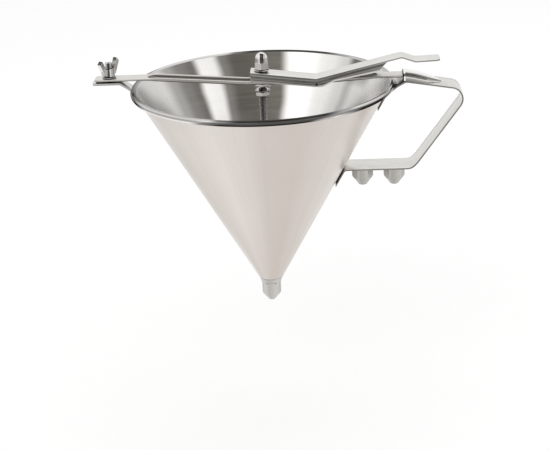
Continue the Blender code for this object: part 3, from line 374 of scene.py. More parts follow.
class FastenerSizes(PropertyGroup):
    """Sizes of the nuts, studs and nozzles."""

    cap_flats: length("Domed nut flats", 0.0100, "Size of the domed nut across its flats")
    cap_hex: length("Domed nut hexagon", 0.0056, "Height of the domed nut's hexagon")
    dome: length("Dome radius", 0.0045, "Radius of the domed nut's cap")
    guide_collar: length("Guide collar", 0.0008, "Height of the collar under the guide nut")
    rod_radius: length("Rod radius", 0.0030, "Radius of the valve rod")
    stud_radius: length("Stud radius", 0.0025, "Radius of the stud under the wing nut")
    edge: length("Edge break", 0.0002, "Size of the broken edges on turned pieces")
    foot: length("Foot", 0.0007, "Thickness of the stud's foot")
    hub_radius: length("Wing hub radius", 0.0043, "Radius of the wing nut's hub at its foot")
    hub_height: length("Wing hub height", 0.0062, "Height of the wing nut's hub")
    wing_sheet: length("Wing thickness", 0.0036, "Thickness of the wings")
    wing_span: length("Wing span", 0.0200, "Span of the wings")
    wing_turn: FloatProperty(
        name="Wing turn", description="Angle at which the wings rest", default=math.radians(54), subtype="ANGLE"
    )
    nozzle_flats: length("Nozzle flats", 0.0128, "Size of the nozzle in use across its flats")
    spare_flats: length("Spare flats", 0.0140, "Size of the spare nozzles across their flats")
    nozzle_hex: length("Nozzle hexagon", 0.0093, "Height of the hexagon of the nozzle in use")
    spare_hex: length("Spare hexagon", 0.0074, "Height of the hexagon of the spare nozzles")
    socket: length("Socket", 0.0059, "Depth of a nozzle's socket")
    tip_radius: length("Nozzle tip", 0.0024, "Radius of the flat tip of the nozzle in use")
    spare_tip_radius: length("Spare tip", 0.0030, "Radius of the flat tip of the spare nozzles")
    nipple_radius: length("Nipple radius", 0.0051, "Radius of the outlet's nipple")
    outlet_bore: length("Outlet bore", 0.0036, "Radius of the outlet's passage")


class FinishTones(PropertyGroup):
    """Colours of the steel finishes, the seals and the floor; each dark tone of the steel is the dark end of its
    painted shade and painted reflection.
    """

    satin_light: tone("Satin light", (0.790, 0.743, 0.708), "Light tone of the cone's satin outside")
    # Dark end of the cone's painted reflection bands outside
    satin_painted_dark: tone("Satin dark", (0.602, 0.550, 0.505), "Darker tone of the cone's satin outside")
    mirror_light: tone("Mirror light", (0.90, 0.885, 0.86), "Light tone of the polished inside")
    # Dark end of the inside's painted reflection streaks
    mirror_painted_dark: tone("Mirror dark", (0.090, 0.083, 0.070), "Dark tone of the polished inside")
    # Dark end of the rim's painted reflection, also the painted shadow line at the hood's mouth
    bead_painted_dark: tone("Rim dark", (0.014, 0.013, 0.011), "Dark tone of the rolled rim")
    strip_light: tone("Strip light", (0.68, 0.665, 0.63), "Light tone of the polished handle strip")
    # Dark end of the painted shade and painted reflection on the strip, the lug and the hood
    strip_painted_dark: tone("Strip dark", (0.095, 0.088, 0.078), "Dark tone of the polished handle strip")
    bridge_light: tone("Bridge light", (0.70, 0.68, 0.645), "Light tone of the brushed bridge")
    # Dark end of the bridge's painted shade and painted shadow
    bridge_painted_dark: tone("Bridge dark", (0.085, 0.080, 0.070), "Dark tone of the brushed bridge")
    lever_light: tone("Lever light", (0.72, 0.71, 0.68), "Light tone of the lever's upper face")
    # Dark end of the painted shade on the lever's sides and on its pin
    lever_painted_dark: tone("Lever dark", (0.105, 0.100, 0.090), "Dark tone of the lever's brushed sides")
    turned_light: tone("Turned light", (0.62, 0.605, 0.575), "Light tone of the nozzles and the outlet")
    # Dark end of the painted reflection on the outlet, nozzles, plug, bush and spare studs
    turned_painted_dark: tone("Turned dark", (0.37, 0.36, 0.335), "Dark tone of the nozzles and the outlet")
    nut_light: tone("Nut light", (0.88, 0.87, 0.85), "Light tone of the polished nuts")
    # Dark end of the painted reflection on the nuts, washers, stud, rod and wing nut
    nut_painted_dark: tone("Nut dark", (0.022, 0.020, 0.017), "Dark tone of the polished nuts")
    seal: tone("Seal", (0.035, 0.035, 0.037), "Colour of the plug's sealing ring")
    gasket: tone("Gasket", (0.78, 0.77, 0.72), "Colour of the nozzle's silicone ring")
    floor: tone("Floor", (0.90, 0.90, 0.90), "Colour of the studio floor")


class StageSizes(PropertyGroup):
    """Sizes and places of the studio around the funnel."""

    floor_gap: length("Floor gap", 0.0600, "Distance of the floor below the nozzle")
    floor_size: length("Floor size", 8.0, "Side of the square floor")
    camera_distance: length("Camera distance", 1.2, "Distance of the camera from the rim's centre")
    camera_lens: FloatProperty(
        name="Lens", description="Focal length of the camera, in millimetres", default=103.48, min=1
    )


GROUPS = {
    "funnel_cone": ConeSizes,
    "funnel_handle": HandleSizes,
    "funnel_bridge": BridgeSizes,
    "funnel_lever": LeverSizes,
    "funnel_fasteners": FastenerSizes,
    "funnel_tones": FinishTones,
    "funnel_stage": StageSizes,
}


def settings(context, *names):
    """Return groups of the funnel's settings."""
    return [getattr(context.scene, f"funnel_{name}") for name in names]


# Shapes


def steps_between(start, end, step):
    """Return evenly spaced places from start to end, no further apart than a step."""
    count = max(1, math.ceil((end - start) / step))
    return [start + (end - start) * index / count for index in range(count + 1)]


def places_along(start, end, coarse, fine, stretches):
    """Return places along a piece, closer together on some of its stretches."""
    places = set(steps_between(start, end, coarse))
    for low, high in stretches:
        places.update(steps_between(low, high, fine))
    ordered = sorted(places)
    kept = ordered[:1]
    for place in ordered[1:]:
        if place - kept[-1] > fine / 3:
            kept.append(place)
    kept[-1] = ordered[-1]
    return kept


def eased(value):
    """Ease a share from 0 to 1 with level ends."""
    value = min(max(value, 0), 1)
    return value * value * (3 - 2 * value)


def along_table(table, place):
    """Read a table of (place, value) rows with straight lines between them."""
    if place <= table[0][0]:
        return table[0][1]
    for (start, low), (end, high) in zip(table, table[1:]):
        if place <= end:
            return low + (high - low) * (place - start) / (end - start)
    return table[-1][1]


def smooth_table(rows, place):
    """Read a table of (place, value, value) rows along a smooth curve."""
    last = len(rows) - 1
    index = 0
    while index < last - 1 and place > rows[index + 1][0]:
        index += 1
    start, end = rows[index], rows[index + 1]
    before = rows[max(index - 1, 0)]
    after = rows[min(index + 2, last)]
    run = end[0] - start[0]
    part = min(max((place - start[0]) / run, 0), 1)
    square = part * part
    cube = square * part
    values = []
    for column in (1, 2):
        slope_in = (end[column] - before[column]) / (end[0] - before[0])
        slope_out = (after[column] - start[column]) / (after[0] - start[0])
        values.append(
            (2 * cube - 3 * square + 1) * start[column]
            + (cube - 2 * square + part) * run * slope_in
            + (3 * square - 2 * cube) * end[column]
            + (cube - square) * run * slope_out
        )
    return values


def arc(across, off, radius, turns):
    """Return the points of a round corner at these turns, in degrees."""
    points = []
    for turn in turns:
        angle = math.radians(turn)
        points.append((across + radius * math.cos(angle), off + radius * math.sin(angle)))
    return points


def corner_loss(corner, inside):
    """Return how much a round corner takes off at a share of its length."""
    return corner * (1 - math.sqrt(max(0.0, 1 - (1 - inside) ** 2)))


def with_mirror_image(points):
    """Return the left half of an outline followed by its right half."""
    return points + [(-across, height) for across, height in points[::-1]]


def skin(rings):
    """Join a row of closed rings of points into one closed shape."""
    bm = bmesh.new()
    rows = [[bm.verts.new(point) for point in ring] for ring in rings]
    for near, far in zip(rows, rows[1:]):
        for index in range(len(near)):
            after = (index + 1) % len(near)
            bm.faces.new([near[index], near[after], far[after], far[index]])
    bm.faces.new(rows[0])
    bm.faces.new(rows[-1])
    return bm


def spin(column_at, sides, centre=(0, 0), finish_at=None):
    """Turn a section about an upright axis; column_at gives (radius, height) points at an angle.

    A section that starts and ends on the axis is capped there, and any other one is a closed loop.
    finish_at gives the material number of each span of the section.
    """
    bm = bmesh.new()
    first = column_at(0)
    capped = first[0][0] == 0
    poles = {}
    if capped:
        for index in (0, len(first) - 1):
            poles[index] = bm.verts.new((*centre, first[index][1]))
    columns = []
    for step in range(sides):
        angle = 2 * math.pi * step / sides
        column = []
        for index, (radius, height) in enumerate(column_at(angle)):
            place = (centre[0] + radius * math.cos(angle), centre[1] + radius * math.sin(angle), height)
            column.append(poles[index] if index in poles else bm.verts.new(place))
        columns.append(column)
    spans = len(first) - 1 if capped else len(first)
    for near, far in zip(columns, columns[1:] + columns[:1]):
        for index in range(spans):
            after = (index + 1) % len(first)
            corners = [near[index], near[after], far[after], far[index]]
            face = bm.faces.new(list(dict.fromkeys(corners)))
            if finish_at:
                face.material_index = finish_at(index)
    return bm


def turned(section, centre=(0, 0), sides=TURNED_SIDES, finish_at=None):
    """Turn one section about an upright axis."""
    return spin(lambda angle: section, sides, centre, finish_at)


def round_section(inner, outer, low, high, edge):
    """Return a section with broken outer edges; an inner radius of 0 makes it solid."""
    return [
        (inner, low),
        (outer - edge, low),
        (outer, low + edge),
        (outer, high - edge),
        (outer - edge, high),
        (inner, high),
    ]


def corner_radius(flats):
    """Return the radius to the corners of a hexagon."""
    return flats / 2 / math.cos(math.pi / HEX_FLATS)


def hexagon_reach(angle, flats):
    """Return how far a hexagon reaches at an angle."""
    sector = 2 * math.pi / HEX_FLATS
    return flats / 2 / math.cos((angle + sector / 2) % sector - sector / 2)


def on_line(start, end, radius):
    """Return the point of a sloping line of a section at this radius."""
    run = (radius - start[0]) / (end[0] - start[0])
    return (radius, start[1] + run * (end[1] - start[1]))


def nut_chamfer(flats, height, direction):
    """Return the conical chamfer at one face of a hexagon nut."""
    inner = flats / 2 * CHAMFER_START_SHARE
    outer = corner_radius(flats)
    return (inner, height), (outer, height + direction * (outer - inner) * CHAMFER_RISE_SHARE)


def spin_hexagon(flats, before, upper, lower, after, centre=(0, 0), turn=0):
    """Turn a section whose widest run is a hexagon between two conical faces."""

    def column_at(angle):
        reach = hexagon_reach(angle + turn, flats)
        return before + [on_line(*upper, reach), on_line(*lower, reach)] + after

    return spin(column_at, HEX_SIDES, centre)


def rounded_route(corners, radii):
    """Replace each inner corner of a line by an arc, no longer than its sides allow."""
    points = [Vector(corners[0])]
    for before, corner, after, radius in zip(corners, corners[1:], corners[2:], radii):
        corner = Vector(corner)
        inward = (Vector(before) - corner).normalized()
        outward = (Vector(after) - corner).normalized()
        half = inward.angle(outward) / 2
        room = min((Vector(before) - corner).length, (Vector(after) - corner).length) / 2
        reach = min(radius / math.tan(half), room)
        radius = reach * math.tan(half)
        centre = corner + (inward + outward).normalized() * (radius / math.sin(half))
        start = corner + inward * reach - centre
        turn = 1 if inward.cross(outward) < 0 else -1
        for angle in steps_between(0, math.pi - 2 * half, ARC_STEP):
            points.append(centre + Matrix.Rotation(turn * angle, 2) @ start)
    points.append(Vector(corners[-1]))
    return points


def mitres(route):
    """Return at each point of a flat route the direction that offsets it by one unit."""
    directions = []
    for index, point in enumerate(route):
        before = route[max(index - 1, 0)]
        after = route[min(index + 1, len(route) - 1)]
        incoming = (point - before) if index else (after - point)
        leaving = (after - point) if index < len(route) - 1 else (point - before)
        first = Vector((-incoming.y, incoming.x)).normalized()
        second = Vector((-leaving.y, leaving.x)).normalized()
        middle = (first + second).normalized()
        directions.append(middle / middle.dot(first))
    return directions


def strip_section(half, thickness, edge):
    """Return the section of a strip with rounded edges, as (across, off) points."""
    points = []
    for side_across, side_off, start in ((1, 1, 0), (-1, 1, 90), (-1, -1, 180), (1, -1, 270)):
        turns = [start + turn for turn in (0, 30, 60, 90)]
        points += arc(side_across * (half - edge), side_off * (thickness / 2 - edge), edge, turns)
    return points


def sweep_strip(route, halves, sheets, edge):
    """Sweep a strip of changing width and thickness along a route in the plane of the handle."""
    rings = []
    for point, offset, half, sheet in zip(route, mitres(route), halves, sheets):
        section = strip_section(half, sheet, edge)
        rings.append([(point.x + offset.x * off, across, point.y + offset.y * off) for across, off in section])
    return skin(rings)


# Objects


def mesh_of(name, bm):
    """Turn a shape into a mesh whose faces look outward."""
    bmesh.ops.recalc_face_normals(bm, faces=bm.faces)
    mesh = bpy.data.meshes.new(name)
    bm.to_mesh(mesh)
    bm.free()
    return mesh


def put_in_scene(name, data):
    """Put an object with this data into the scene."""
    thing = bpy.data.objects.new(name, data)
    bpy.context.scene.collection.objects.link(thing)
    return thing


def modify(piece, name, kind, **options):
    """Add a modifier to an object and set its options."""
    modifier = piece.modifiers.new(name, kind)
    for option, value in options.items():
        setattr(modifier, option, value)


def join_shape(bm, extra):
    """Add another shape's faces to a shape."""
    mesh = mesh_of("extra", extra)
    bm.from_mesh(mesh)
    bpy.data.meshes.remove(mesh)


def applied(piece, *tools):
    """Return a helper object's shape with its modifiers applied, and remove the helpers."""
    graph = bpy.context.evaluated_depsgraph_get()
    mesh = bpy.data.meshes.new_from_object(piece.evaluated_get(graph))
    bm = bmesh.new()
    bm.from_mesh(mesh)
    for helper in (*tools, piece):
        bpy.data.objects.remove(helper, do_unlink=True)
    bpy.data.meshes.remove(mesh)
    return bm


def without(bm, cutters):
    """Take the cutters' shapes out of a piece's shape."""
    piece = put_in_scene("uncut", mesh_of("uncut", bm))
    tools = []
    for cutter in cutters:
        tool = put_in_scene("cutter", mesh_of("cutter", cutter))
        modify(piece, "cut", "BOOLEAN", operation="DIFFERENCE", solver="EXACT", object=tool)
        tools.append(tool)
    return applied(piece, *tools)


def upright_cylinder(centre, radius, low, high):
    """Return a round cutter that stands on end."""
    return turned([(0, low), (radius, low), (radius, high), (0, high)], centre)


def publish(name, bm, body, covers, finishes, edge=0, sharp=SHARP_ANGLE):
    """Link a piece with smooth faces and crisp folds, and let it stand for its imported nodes."""
    mesh = mesh_of(name, bm)
    for finish in finishes:
        mesh.materials.append(finish.material)
    mesh.shade_smooth()
    mesh.set_sharp_from_angle(angle=sharp)
    piece = put_in_scene(name, mesh)
    if edge:
        limits = {"limit_method": "ANGLE", "angle_limit": SHARP_ANGLE}
        modify(piece, "edge_break", "BEVEL", width=edge, segments=3, harden_normals=True, **limits)
    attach(piece, body)
    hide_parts(*covers)
    return piece


def mark_points(piece, name, value_at):
    """Store a value at every point of a piece, which its finish reads."""
    marks = piece.data.attributes.new(name, "FLOAT", "POINT")
    for vertex, mark in zip(piece.data.vertices, marks.data):
        mark.value = value_at(vertex.co)


def body_that_holds(node):
    """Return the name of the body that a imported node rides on."""
    return NODES[node]["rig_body"]


def middle_of(node):
    """Return the place in plan of a turned node's axis."""
    low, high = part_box(node)
    return ((low.x + high.x) / 2, (low.y + high.y) / 2)


# Materials


def mixed(first, second, part):
    """Return a plain colour between two."""
    return tuple(a + (b - a) * part for a, b in zip(first, second))


class Nodes:
    """Adds nodes to a tree; an input takes a plain value or another node's output."""

    def __init__(self, tree):
        self.tree = tree

    def feed(self, socket, value):
        """Link an input to an output, or set its value."""
        if isinstance(value, NodeSocket):
            self.tree.links.new(value, socket)
        else:
            socket.default_value = (*value, 1.0) if socket.type == "RGBA" else value

    def add(self, kind, inputs, **options):
        """Add a node, set its options and feed its inputs."""
        node = self.tree.nodes.new(kind)
        for option, value in options.items():
            setattr(node, option, value)
        for name, value in inputs.items():
            self.feed(node.inputs[name], value)
        return node

    def calculate(self, operation, *values):
        """Return what a Math node makes of its values."""
        return self.add("ShaderNodeMath", dict(enumerate(values)), operation=operation).outputs[0]

    def product(self, value, *others):
        """Multiply values."""
        for other in others:
            value = self.calculate("MULTIPLY", value, other)
        return value

    def spread(self, value, low, high, to_low=0.0, to_high=1.0):
        """Map a range of a value onto another range, clamped."""
        inputs = {"Value": value, "From Min": low, "From Max": high, "To Min": to_low, "To Max": to_high}
        return self.add("ShaderNodeMapRange", inputs).outputs["Result"]

    def varied(self, grain, low, high):
        """Turn a noise into values between a low and a high one."""
        return self.spread(grain, 0.3, 0.7, low, high)

    def blend(self, factor, first, second):
        """Mix two colours by a factor."""
        inputs = {"Factor": factor, 6: first, 7: second}
        return self.add("ShaderNodeMix", inputs, data_type="RGBA").outputs[2]

    def ramp(self, value, rows, first, second):
        """Return a colour from rows of (position, share of the second colour)."""
        node = self.add("ShaderNodeValToRGB", {"Fac": value})
        node.color_ramp.interpolation = "EASE"
        stops = node.color_ramp.elements
        for index, (position, part) in enumerate(rows):
            stop = stops[index] if index < 2 else stops.new(position)
            stop.position = position
            stop.color = (*mixed(first, second, part), 1.0)
        return node.outputs["Color"]

    def noise(self, place, scale, detail=3.0, roughness=0.55):
        """Return the value of a noise texture."""
        inputs = {"Vector": place, "Scale": scale, "Detail": detail, "Roughness": roughness}
        return self.add("ShaderNodeTexNoise", inputs).outputs["Fac"]

    def stretched(self, place, stretch, offset=(0, 0, 0)):
        """Scale the coordinates of a texture along each axis."""
        inputs = {"Vector": place, "Scale": stretch, "Location": offset}
        return self.add("ShaderNodeMapping", inputs).outputs["Vector"]

    def part_of(self, vector, axis):
        """Return one part of a vector."""
        return self.add("ShaderNodeSeparateXYZ", {0: vector}).outputs[axis]

    def seen_directly(self):
        """Return 1 for rays from the camera or from a mirror or glass, and 0 for falling light."""
        path = self.add("ShaderNodeLightPath", {}).outputs
        either = self.calculate("MAXIMUM", path["Is Camera Ray"], path["Is Glossy Ray"])
        return self.calculate("MAXIMUM", either, path["Is Transmission Ray"])


class Finish(Nodes):
    """A material whose tones lie between a first and a second one."""

    def __init__(self, name, first, second, metallic=1.0, edge=1.0):
        """Start a material; edge is the brightness of its reflections at grazing angles."""
        self.material = bpy.data.materials.new(name)
        self.material.use_nodes = True
        super().__init__(self.material.node_tree)
        self.first = tuple(first)
        self.second = tuple(second)
        self.colour = self.first
        self.shader = self.tree.nodes["Principled BSDF"]
        self.shade("Metallic", metallic)
        self.shade("Specular Tint", (edge, edge, edge))
        coordinates = self.add("ShaderNodeTexCoord", {})
        self.place = coordinates.outputs["Object"]
        self.normal = coordinates.outputs["Normal"]

    def shade(self, name, value):
        """Feed an input of the shader."""
        self.feed(self.shader.inputs[name], value)

    def paint(self, colour):
        """Give the shader its colour."""
        self.colour = colour
        self.shade("Base Color", colour)

    def layer(self, factor, over):
        """Lay another colour over the present one by a factor."""
        self.paint(self.blend(factor, self.colour, over))

    def keep(self, factor, other):
        """Keep the present colour by a factor and show another one elsewhere."""
        self.paint(self.blend(factor, other, self.colour))

    def emboss(self, height, strength, distance=FINE_RELIEF):
        """Drive the shader's normal from a height."""
        inputs = {"Height": height, "Strength": strength, "Distance": distance}
        self.shade("Normal", self.add("ShaderNodeBump", inputs).outputs["Normal"])

    def tone(self, part):
        """Return a plain colour between the finish's two tones."""
        return mixed(self.first, self.second, part)

    def shaded(self, value, rows):
        """Return a tone from rows of (position, share of the second tone)."""
        return self.ramp(value, rows, self.first, self.second)

    def at(self, axis):
        """Return a point's place along an axis."""
        return self.part_of(self.place, axis)

    def facing(self, axis):
        """Return how far a face looks along an axis, from -1 to 1."""
        return self.part_of(self.normal, axis)

    def turn_share(self, axis):
        """Return how far a face looks along an axis, from 0 to 1."""
        return self.spread(self.facing(axis), -1, 1)

    def sidelong(self):
        """Return 1 on faces that look to the front or the back, and 0 on the others."""
        return self.spread(self.calculate("ABSOLUTE", self.facing("Y")), 0.75, 0.9)

    def marked(self, name):
        """Return the value stored on a piece's points."""
        return self.add("ShaderNodeAttribute", {}, attribute_name=name).outputs["Fac"]

    def round_axis(self, centre, around, up):
        """Return the direction from an upright axis, and coordinates around it and up it without a seam."""
        shifted = self.stretched(self.place, (1, 1, 1), (-centre[0], -centre[1], 0))
        flat = self.stretched(shifted, (1, 1, 0))
        outward = self.add("ShaderNodeVectorMath", {0: flat}, operation="NORMALIZE").outputs[0]
        wide = self.stretched(outward, (around, around, 0))
        tall = self.stretched(shifted, (0, 0, up))
        return outward, self.add("ShaderNodeVectorMath", {0: wide, 1: tall}, operation="ADD").outputs[0]


def satin_outside(tones):
    """Brushed satin sheet: painted reflection bands round the cone, a painted highlight low on its left, darker
    towards the bottom, fine lines down its slope.
    """
    steel = Finish("satin_outside", tones.satin_light, tones.satin_painted_dark, edge=0.95)
    outward, lines_place = steel.round_axis((0, 0), 90, 4)
    across = steel.spread(steel.part_of(outward, "X"), -1, 1)
    height = steel.at("Z")
    # Painted reflection bands round the cone, and below them the cone grows darker towards the bottom
    steel.paint(steel.shaded(across, SATIN_PAINTED_REFLECTION_SHARES))
    steel.layer(steel.spread(height, *SATIN_DARKER_HEIGHTS, 0.0, 0.4), steel.second)
    # Painted highlight: the cone's lower left side is lightened towards the mirror tone
    left = steel.spread(across, 0.17, 0.06)
    steel.layer(steel.product(left, steel.spread(height, *SATIN_PAINTED_HIGHLIGHT_HEIGHTS)), tones.mirror_light)
    lines = steel.noise(lines_place, 1.0, 4.0, 0.62)
    steel.layer(steel.spread(lines, 0.35, 0.65, 0.0, 0.14), steel.tone(1.3))
    clouds = steel.varied(steel.noise(steel.place, 26.0), 0.26, 0.36)
    steel.shade("Roughness", steel.calculate("ADD", clouds, steel.varied(lines, 0, 0.06)))
    steel.emboss(steel.varied(lines, 0.0, 1.0), 0.10, SATIN_RELIEF)
    return steel


def polished_inside(tones):
    """Mirror-like sheet: broad painted reflection streaks, dark and bright, that run down the cone."""
    steel = Finish("polished_inside", tones.mirror_light, tones.mirror_painted_dark)
    outward, lines_place = steel.round_axis((0, 0), 2.0, 420)
    wobble = steel.noise(steel.stretched(steel.place, (6, 6, 9)), 2.0, 2.0)
    shifted = steel.calculate("ADD", steel.part_of(outward, "X"), steel.varied(wobble, -0.025, 0.025))
    across = steel.spread(shifted, -1, 1)
    height = steel.at("Z")
    # Painted reflection streaks round the inside
    steel.paint(steel.shaded(across, MIRROR_PAINTED_REFLECTION_SHARES))
    # The dark painted reflection streak on the right side stays near the top
    right = steel.spread(across, 0.84, 0.90)
    steel.layer(steel.product(right, steel.spread(height, *MIRROR_SIDE_HEIGHTS)), steel.tone(0.28))
    # The painted reflection streaks soften on the front of the inside and lower down
    in_front = steel.spread(steel.part_of(outward, "Y"), 0.05, -0.30, 0.0, 0.88)
    deep = steel.spread(height, *MIRROR_DEEP_HEIGHTS, 0.0, 0.6)
    steel.layer(steel.calculate("MAXIMUM", deep, in_front), steel.tone(0.30))
    lines = steel.noise(lines_place, 1.0, 2.0, 0.5)
    steel.layer(steel.spread(lines, 0.35, 0.7, 0.0, 0.07), steel.tone(0.5))
    steel.shade("Roughness", steel.varied(steel.noise(steel.place, 34.0), 0.22, 0.30))
    steel.emboss(lines, 0.04)
    return steel


def rolled_bead(tones):
    """Polished rolled rim: painted highlight and reflection lines along it, with a painted dark reflection band in the
    middle of its front and back.
    """
    steel = Finish("rolled_bead", tones.mirror_light, tones.bead_painted_dark)
    outward, lines_place = steel.round_axis((0, 0), 3.0, 500)
    tilt = steel.turn_share("Z")
    sideways = steel.part_of(outward, "X")
    right_end = steel.spread(sideways, 0.97, 0.88, 0.15, 1.0)
    right = steel.product(steel.spread(sideways, 0.56, 0.74), right_end)
    beside = steel.calculate("MAXIMUM", steel.spread(sideways, -0.84, -0.91), right)
    # Painted highlights and painted reflection lines follow the way the rim's section looks, with their own pattern at
    # its sides
    steel.paint(steel.shaded(tilt, BEAD_PAINTED_REFLECTION_SHARES))
    steel.layer(beside, steel.shaded(tilt, BEAD_SIDE_PAINTED_REFLECTION_SHARES))
    # A painted black reflection band across the middle of the front, and darker painted reflection at the back
    lean = steel.spread(tilt, 0.3, 0.8, 0.0, 0.07)
    across = steel.calculate("SUBTRACT", steel.spread(sideways, -1, 1), lean)
    band = steel.part_of(steel.ramp(across, RIM_PAINTED_REFLECTION_BAND_SHARES, BLACK, WHITE), "X")
    steel.layer(band, steel.shaded(tilt, BEAD_MIDDLE_PAINTED_REFLECTION_SHARES))
    back = steel.blend(band, steel.tone(0.40), steel.tone(0.96))
    steel.layer(steel.spread(steel.part_of(outward, "Y"), -0.1, 0.25), back)
    dimmed = steel.calculate("MAXIMUM", band, beside)
    # Grazing reflections are dimmed where the painted bands are dark
    steel.shade("Specular Tint", steel.blend(dimmed, (0.9, 0.9, 0.9), (0.3, 0.3, 0.3)))
    lines = steel.noise(lines_place, 1.0, 2.0)
    steel.layer(steel.spread(lines, 0.4, 0.7, 0.0, 0.04), steel.tone(0.5))
    steel.shade("Roughness", steel.varied(steel.noise(steel.place, 40.0), 0.10, 0.20))
    steel.emboss(lines, 0.05)
    return steel


def drawn_steel(name, light, dark, stretch, roughness, rows, axis="Z", streak=0.3):
    """Sheet steel with drawn lines, and painted shade and reflection that give each face its tone from the way it
    looks.
    """
    steel = Finish(name, light, dark)
    lines = steel.noise(steel.stretched(steel.place, stretch), 1.0, 4.0, 0.6)
    broad = steel.noise(steel.stretched(steel.place, (70, 70, 70)), 1.0, 2.0)
    lightened = steel.blend(steel.spread(broad, 0.40, 0.60), steel.tone(0.85), steel.tone(0.30))
    # Painted shade and reflection: the tone follows the way each face looks
    steel.paint(steel.shaded(steel.turn_share(axis), rows))
    steel.layer(steel.spread(lines, 0.36, 0.66, 0.0, streak), lightened)
    clouds = steel.varied(broad, roughness, roughness * 1.35)
    steel.shade("Roughness", steel.calculate("ADD", clouds, steel.varied(lines, 0.0, 0.05)))
    steel.emboss(lines, 0.10, DRAWN_RELIEF)
    return steel


def turned_steel(name, light, dark, roughness, rows=TURNED_PAINTED_REFLECTION_SHARES, centre=(0, 0), thread=0.0):
    """Turned steel: tool lines or a thread around the axis, painted reflection that makes its sides light and dark,
    and painted shade underneath.
    """
    steel = Finish(name, light, dark)
    outward, lines_place = steel.round_axis(centre, 1.0, 2600)
    lines = steel.noise(lines_place, 1.0, 2.0, 0.6)
    # Painted reflection makes the sides light and dark
    steel.paint(steel.shaded(steel.spread(steel.part_of(outward, "X"), -1, 1), rows))
    # Painted shade on faces that look down
    steel.layer(steel.spread(steel.facing("Z"), -0.95, -0.55, 0.85, 0.0), steel.tone(0.9))
    steel.layer(steel.spread(lines, 0.35, 0.7, 0.0, 0.22), steel.tone(0.5))
    clouds = steel.noise(steel.place, 300.0)
    steel.shade("Roughness", steel.varied(clouds, roughness, roughness + 0.08))
    if thread:
        turns = steel.calculate("MULTIPLY", steel.at("Z"), 2 * math.pi / thread)
        steel.emboss(steel.calculate("SINE", turns), 0.9, thread * 0.3)
    else:
        steel.emboss(lines, 0.08)
    return steel


def polished_nut(name, light, dark):
    """Mirror-bright nut: painted reflection with dark outlines, a bright line inside them and dark streaks in front.
    """
    steel = Finish(name, light, dark)
    frontal = steel.calculate("ABSOLUTE", steel.facing("Y"))
    # Painted reflection streaks by the way each face looks
    steel.paint(steel.shaded(steel.turn_share("X"), NUT_PAINTED_REFLECTION_SHARES))
    # Painted reflection: a dark outline where faces look sideways, and a bright line inside it
    steel.keep(steel.spread(frontal, 0.44, 0.56), steel.tone(0.03))
    steel.keep(steel.spread(frontal, 0.16, 0.30), steel.tone(0.97))
    grain = steel.noise(steel.place, 800.0)
    steel.layer(steel.spread(grain, 0.4, 0.75, 0.0, 0.18), steel.tone(0.4))
    steel.shade("Roughness", steel.varied(grain, 0.08, 0.18))
    steel.emboss(grain, 0.08)
    return steel


def cast_steel(name, light, dark):
    """Polished casting: painted reflection gives each face its tone from the way it looks, with painted dark
    reflection on its blunt tops.
    """
    steel = Finish(name, light, dark)
    steel.paint(steel.shaded(steel.turn_share("X"), CAST_PAINTED_REFLECTION_SHARES))
    # Painted dark reflection on faces that look up
    steel.layer(steel.spread(steel.facing("Z"), 0.38, 0.46), steel.tone(0.98))
    grain = steel.noise(steel.place, 700.0)
    steel.layer(steel.spread(grain, 0.4, 0.75, 0.0, 0.25), steel.tone(0.5))
    steel.shade("Roughness", steel.varied(grain, 0.14, 0.26))
    steel.emboss(grain, 0.12, CAST_RELIEF)
    return steel


def soft_seal(name, colour, roughness):
    """Rubber or silicone with a fine moulded grain."""
    rubber = Finish(name, colour, WHITE, metallic=0.0)
    grain = rubber.noise(rubber.place, 900.0)
    rubber.layer(grain, rubber.tone(0.08))
    rubber.shade("Roughness", rubber.varied(grain, roughness, roughness + 0.15))
    rubber.emboss(grain, 0.15, CAST_RELIEF)
    return rubber


def dress(node, finish):
    """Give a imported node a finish."""
    slots = NODES[node].data.materials
    slots.clear()
    slots.append(finish.material)


# The cone and the outlet


def cone_lean(cone):
    """Return the angle between the cone's wall and its axis."""
    run = cone.rim_radius - cone.curl_radius - cone.collar_radius
    rise = cone.depth - cone.curl_radius
    return math.atan2(run, rise) - math.asin((cone.curl_radius - cone.wall) / math.hypot(run, rise))


def cone_outside(cone, height):
    """Return the radius of the cone's outer face at a height."""
    return cone.collar_radius + (height + cone.depth) * math.tan(cone_lean(cone))


def cone_inside(cone, height):
    """Return the radius of the cone's inner face at a height."""
    return cone_outside(cone, height) - cone.wall / math.cos(cone_lean(cone))


class FUNNEL_OT_make_hopper(Operator):
    """Spin the cone with its rolled rim, polished inside and satin outside"""

    bl_idname = "funnel.make_hopper"
    bl_label = "Make Hopper"

    def execute(self, context):
        cone, tones = settings(context, "cone", "tones")
        centre = Vector((cone.rim_radius - cone.curl_radius, -cone.curl_radius))
        start = math.pi - cone_lean(cone)
        inner_arc = []
        outer_arc = []
        for angle in steps_between(0, 2 * math.pi * cone.curl_turn, 2 * math.pi / CURL_STEPS):
            outward = Vector((math.cos(start - angle), math.sin(start - angle)))
            inner_arc.append(centre + outward * (cone.curl_radius - cone.wall))
            outer_arc.append(centre + outward * cone.curl_radius)
        foot = HOPPER_LOW.z
        section = [(cone_outside(cone, foot), foot), *inner_arc, *outer_arc[::-1], (cone_inside(cone, foot), foot)]
        outside, bead, inside = range(3)

        def finish_at(span):
            if span == 0:
                return outside
            return inside if span >= len(section) - 2 else bead

        finishes = [satin_outside(tones), rolled_bead(tones), polished_inside(tones)]
        bm = turned(section, sides=HOPPER_SIDES, finish_at=finish_at)
        publish("rolled_rim_hopper", bm, "funnel", ["hopper"], finishes)
        return {"FINISHED"}


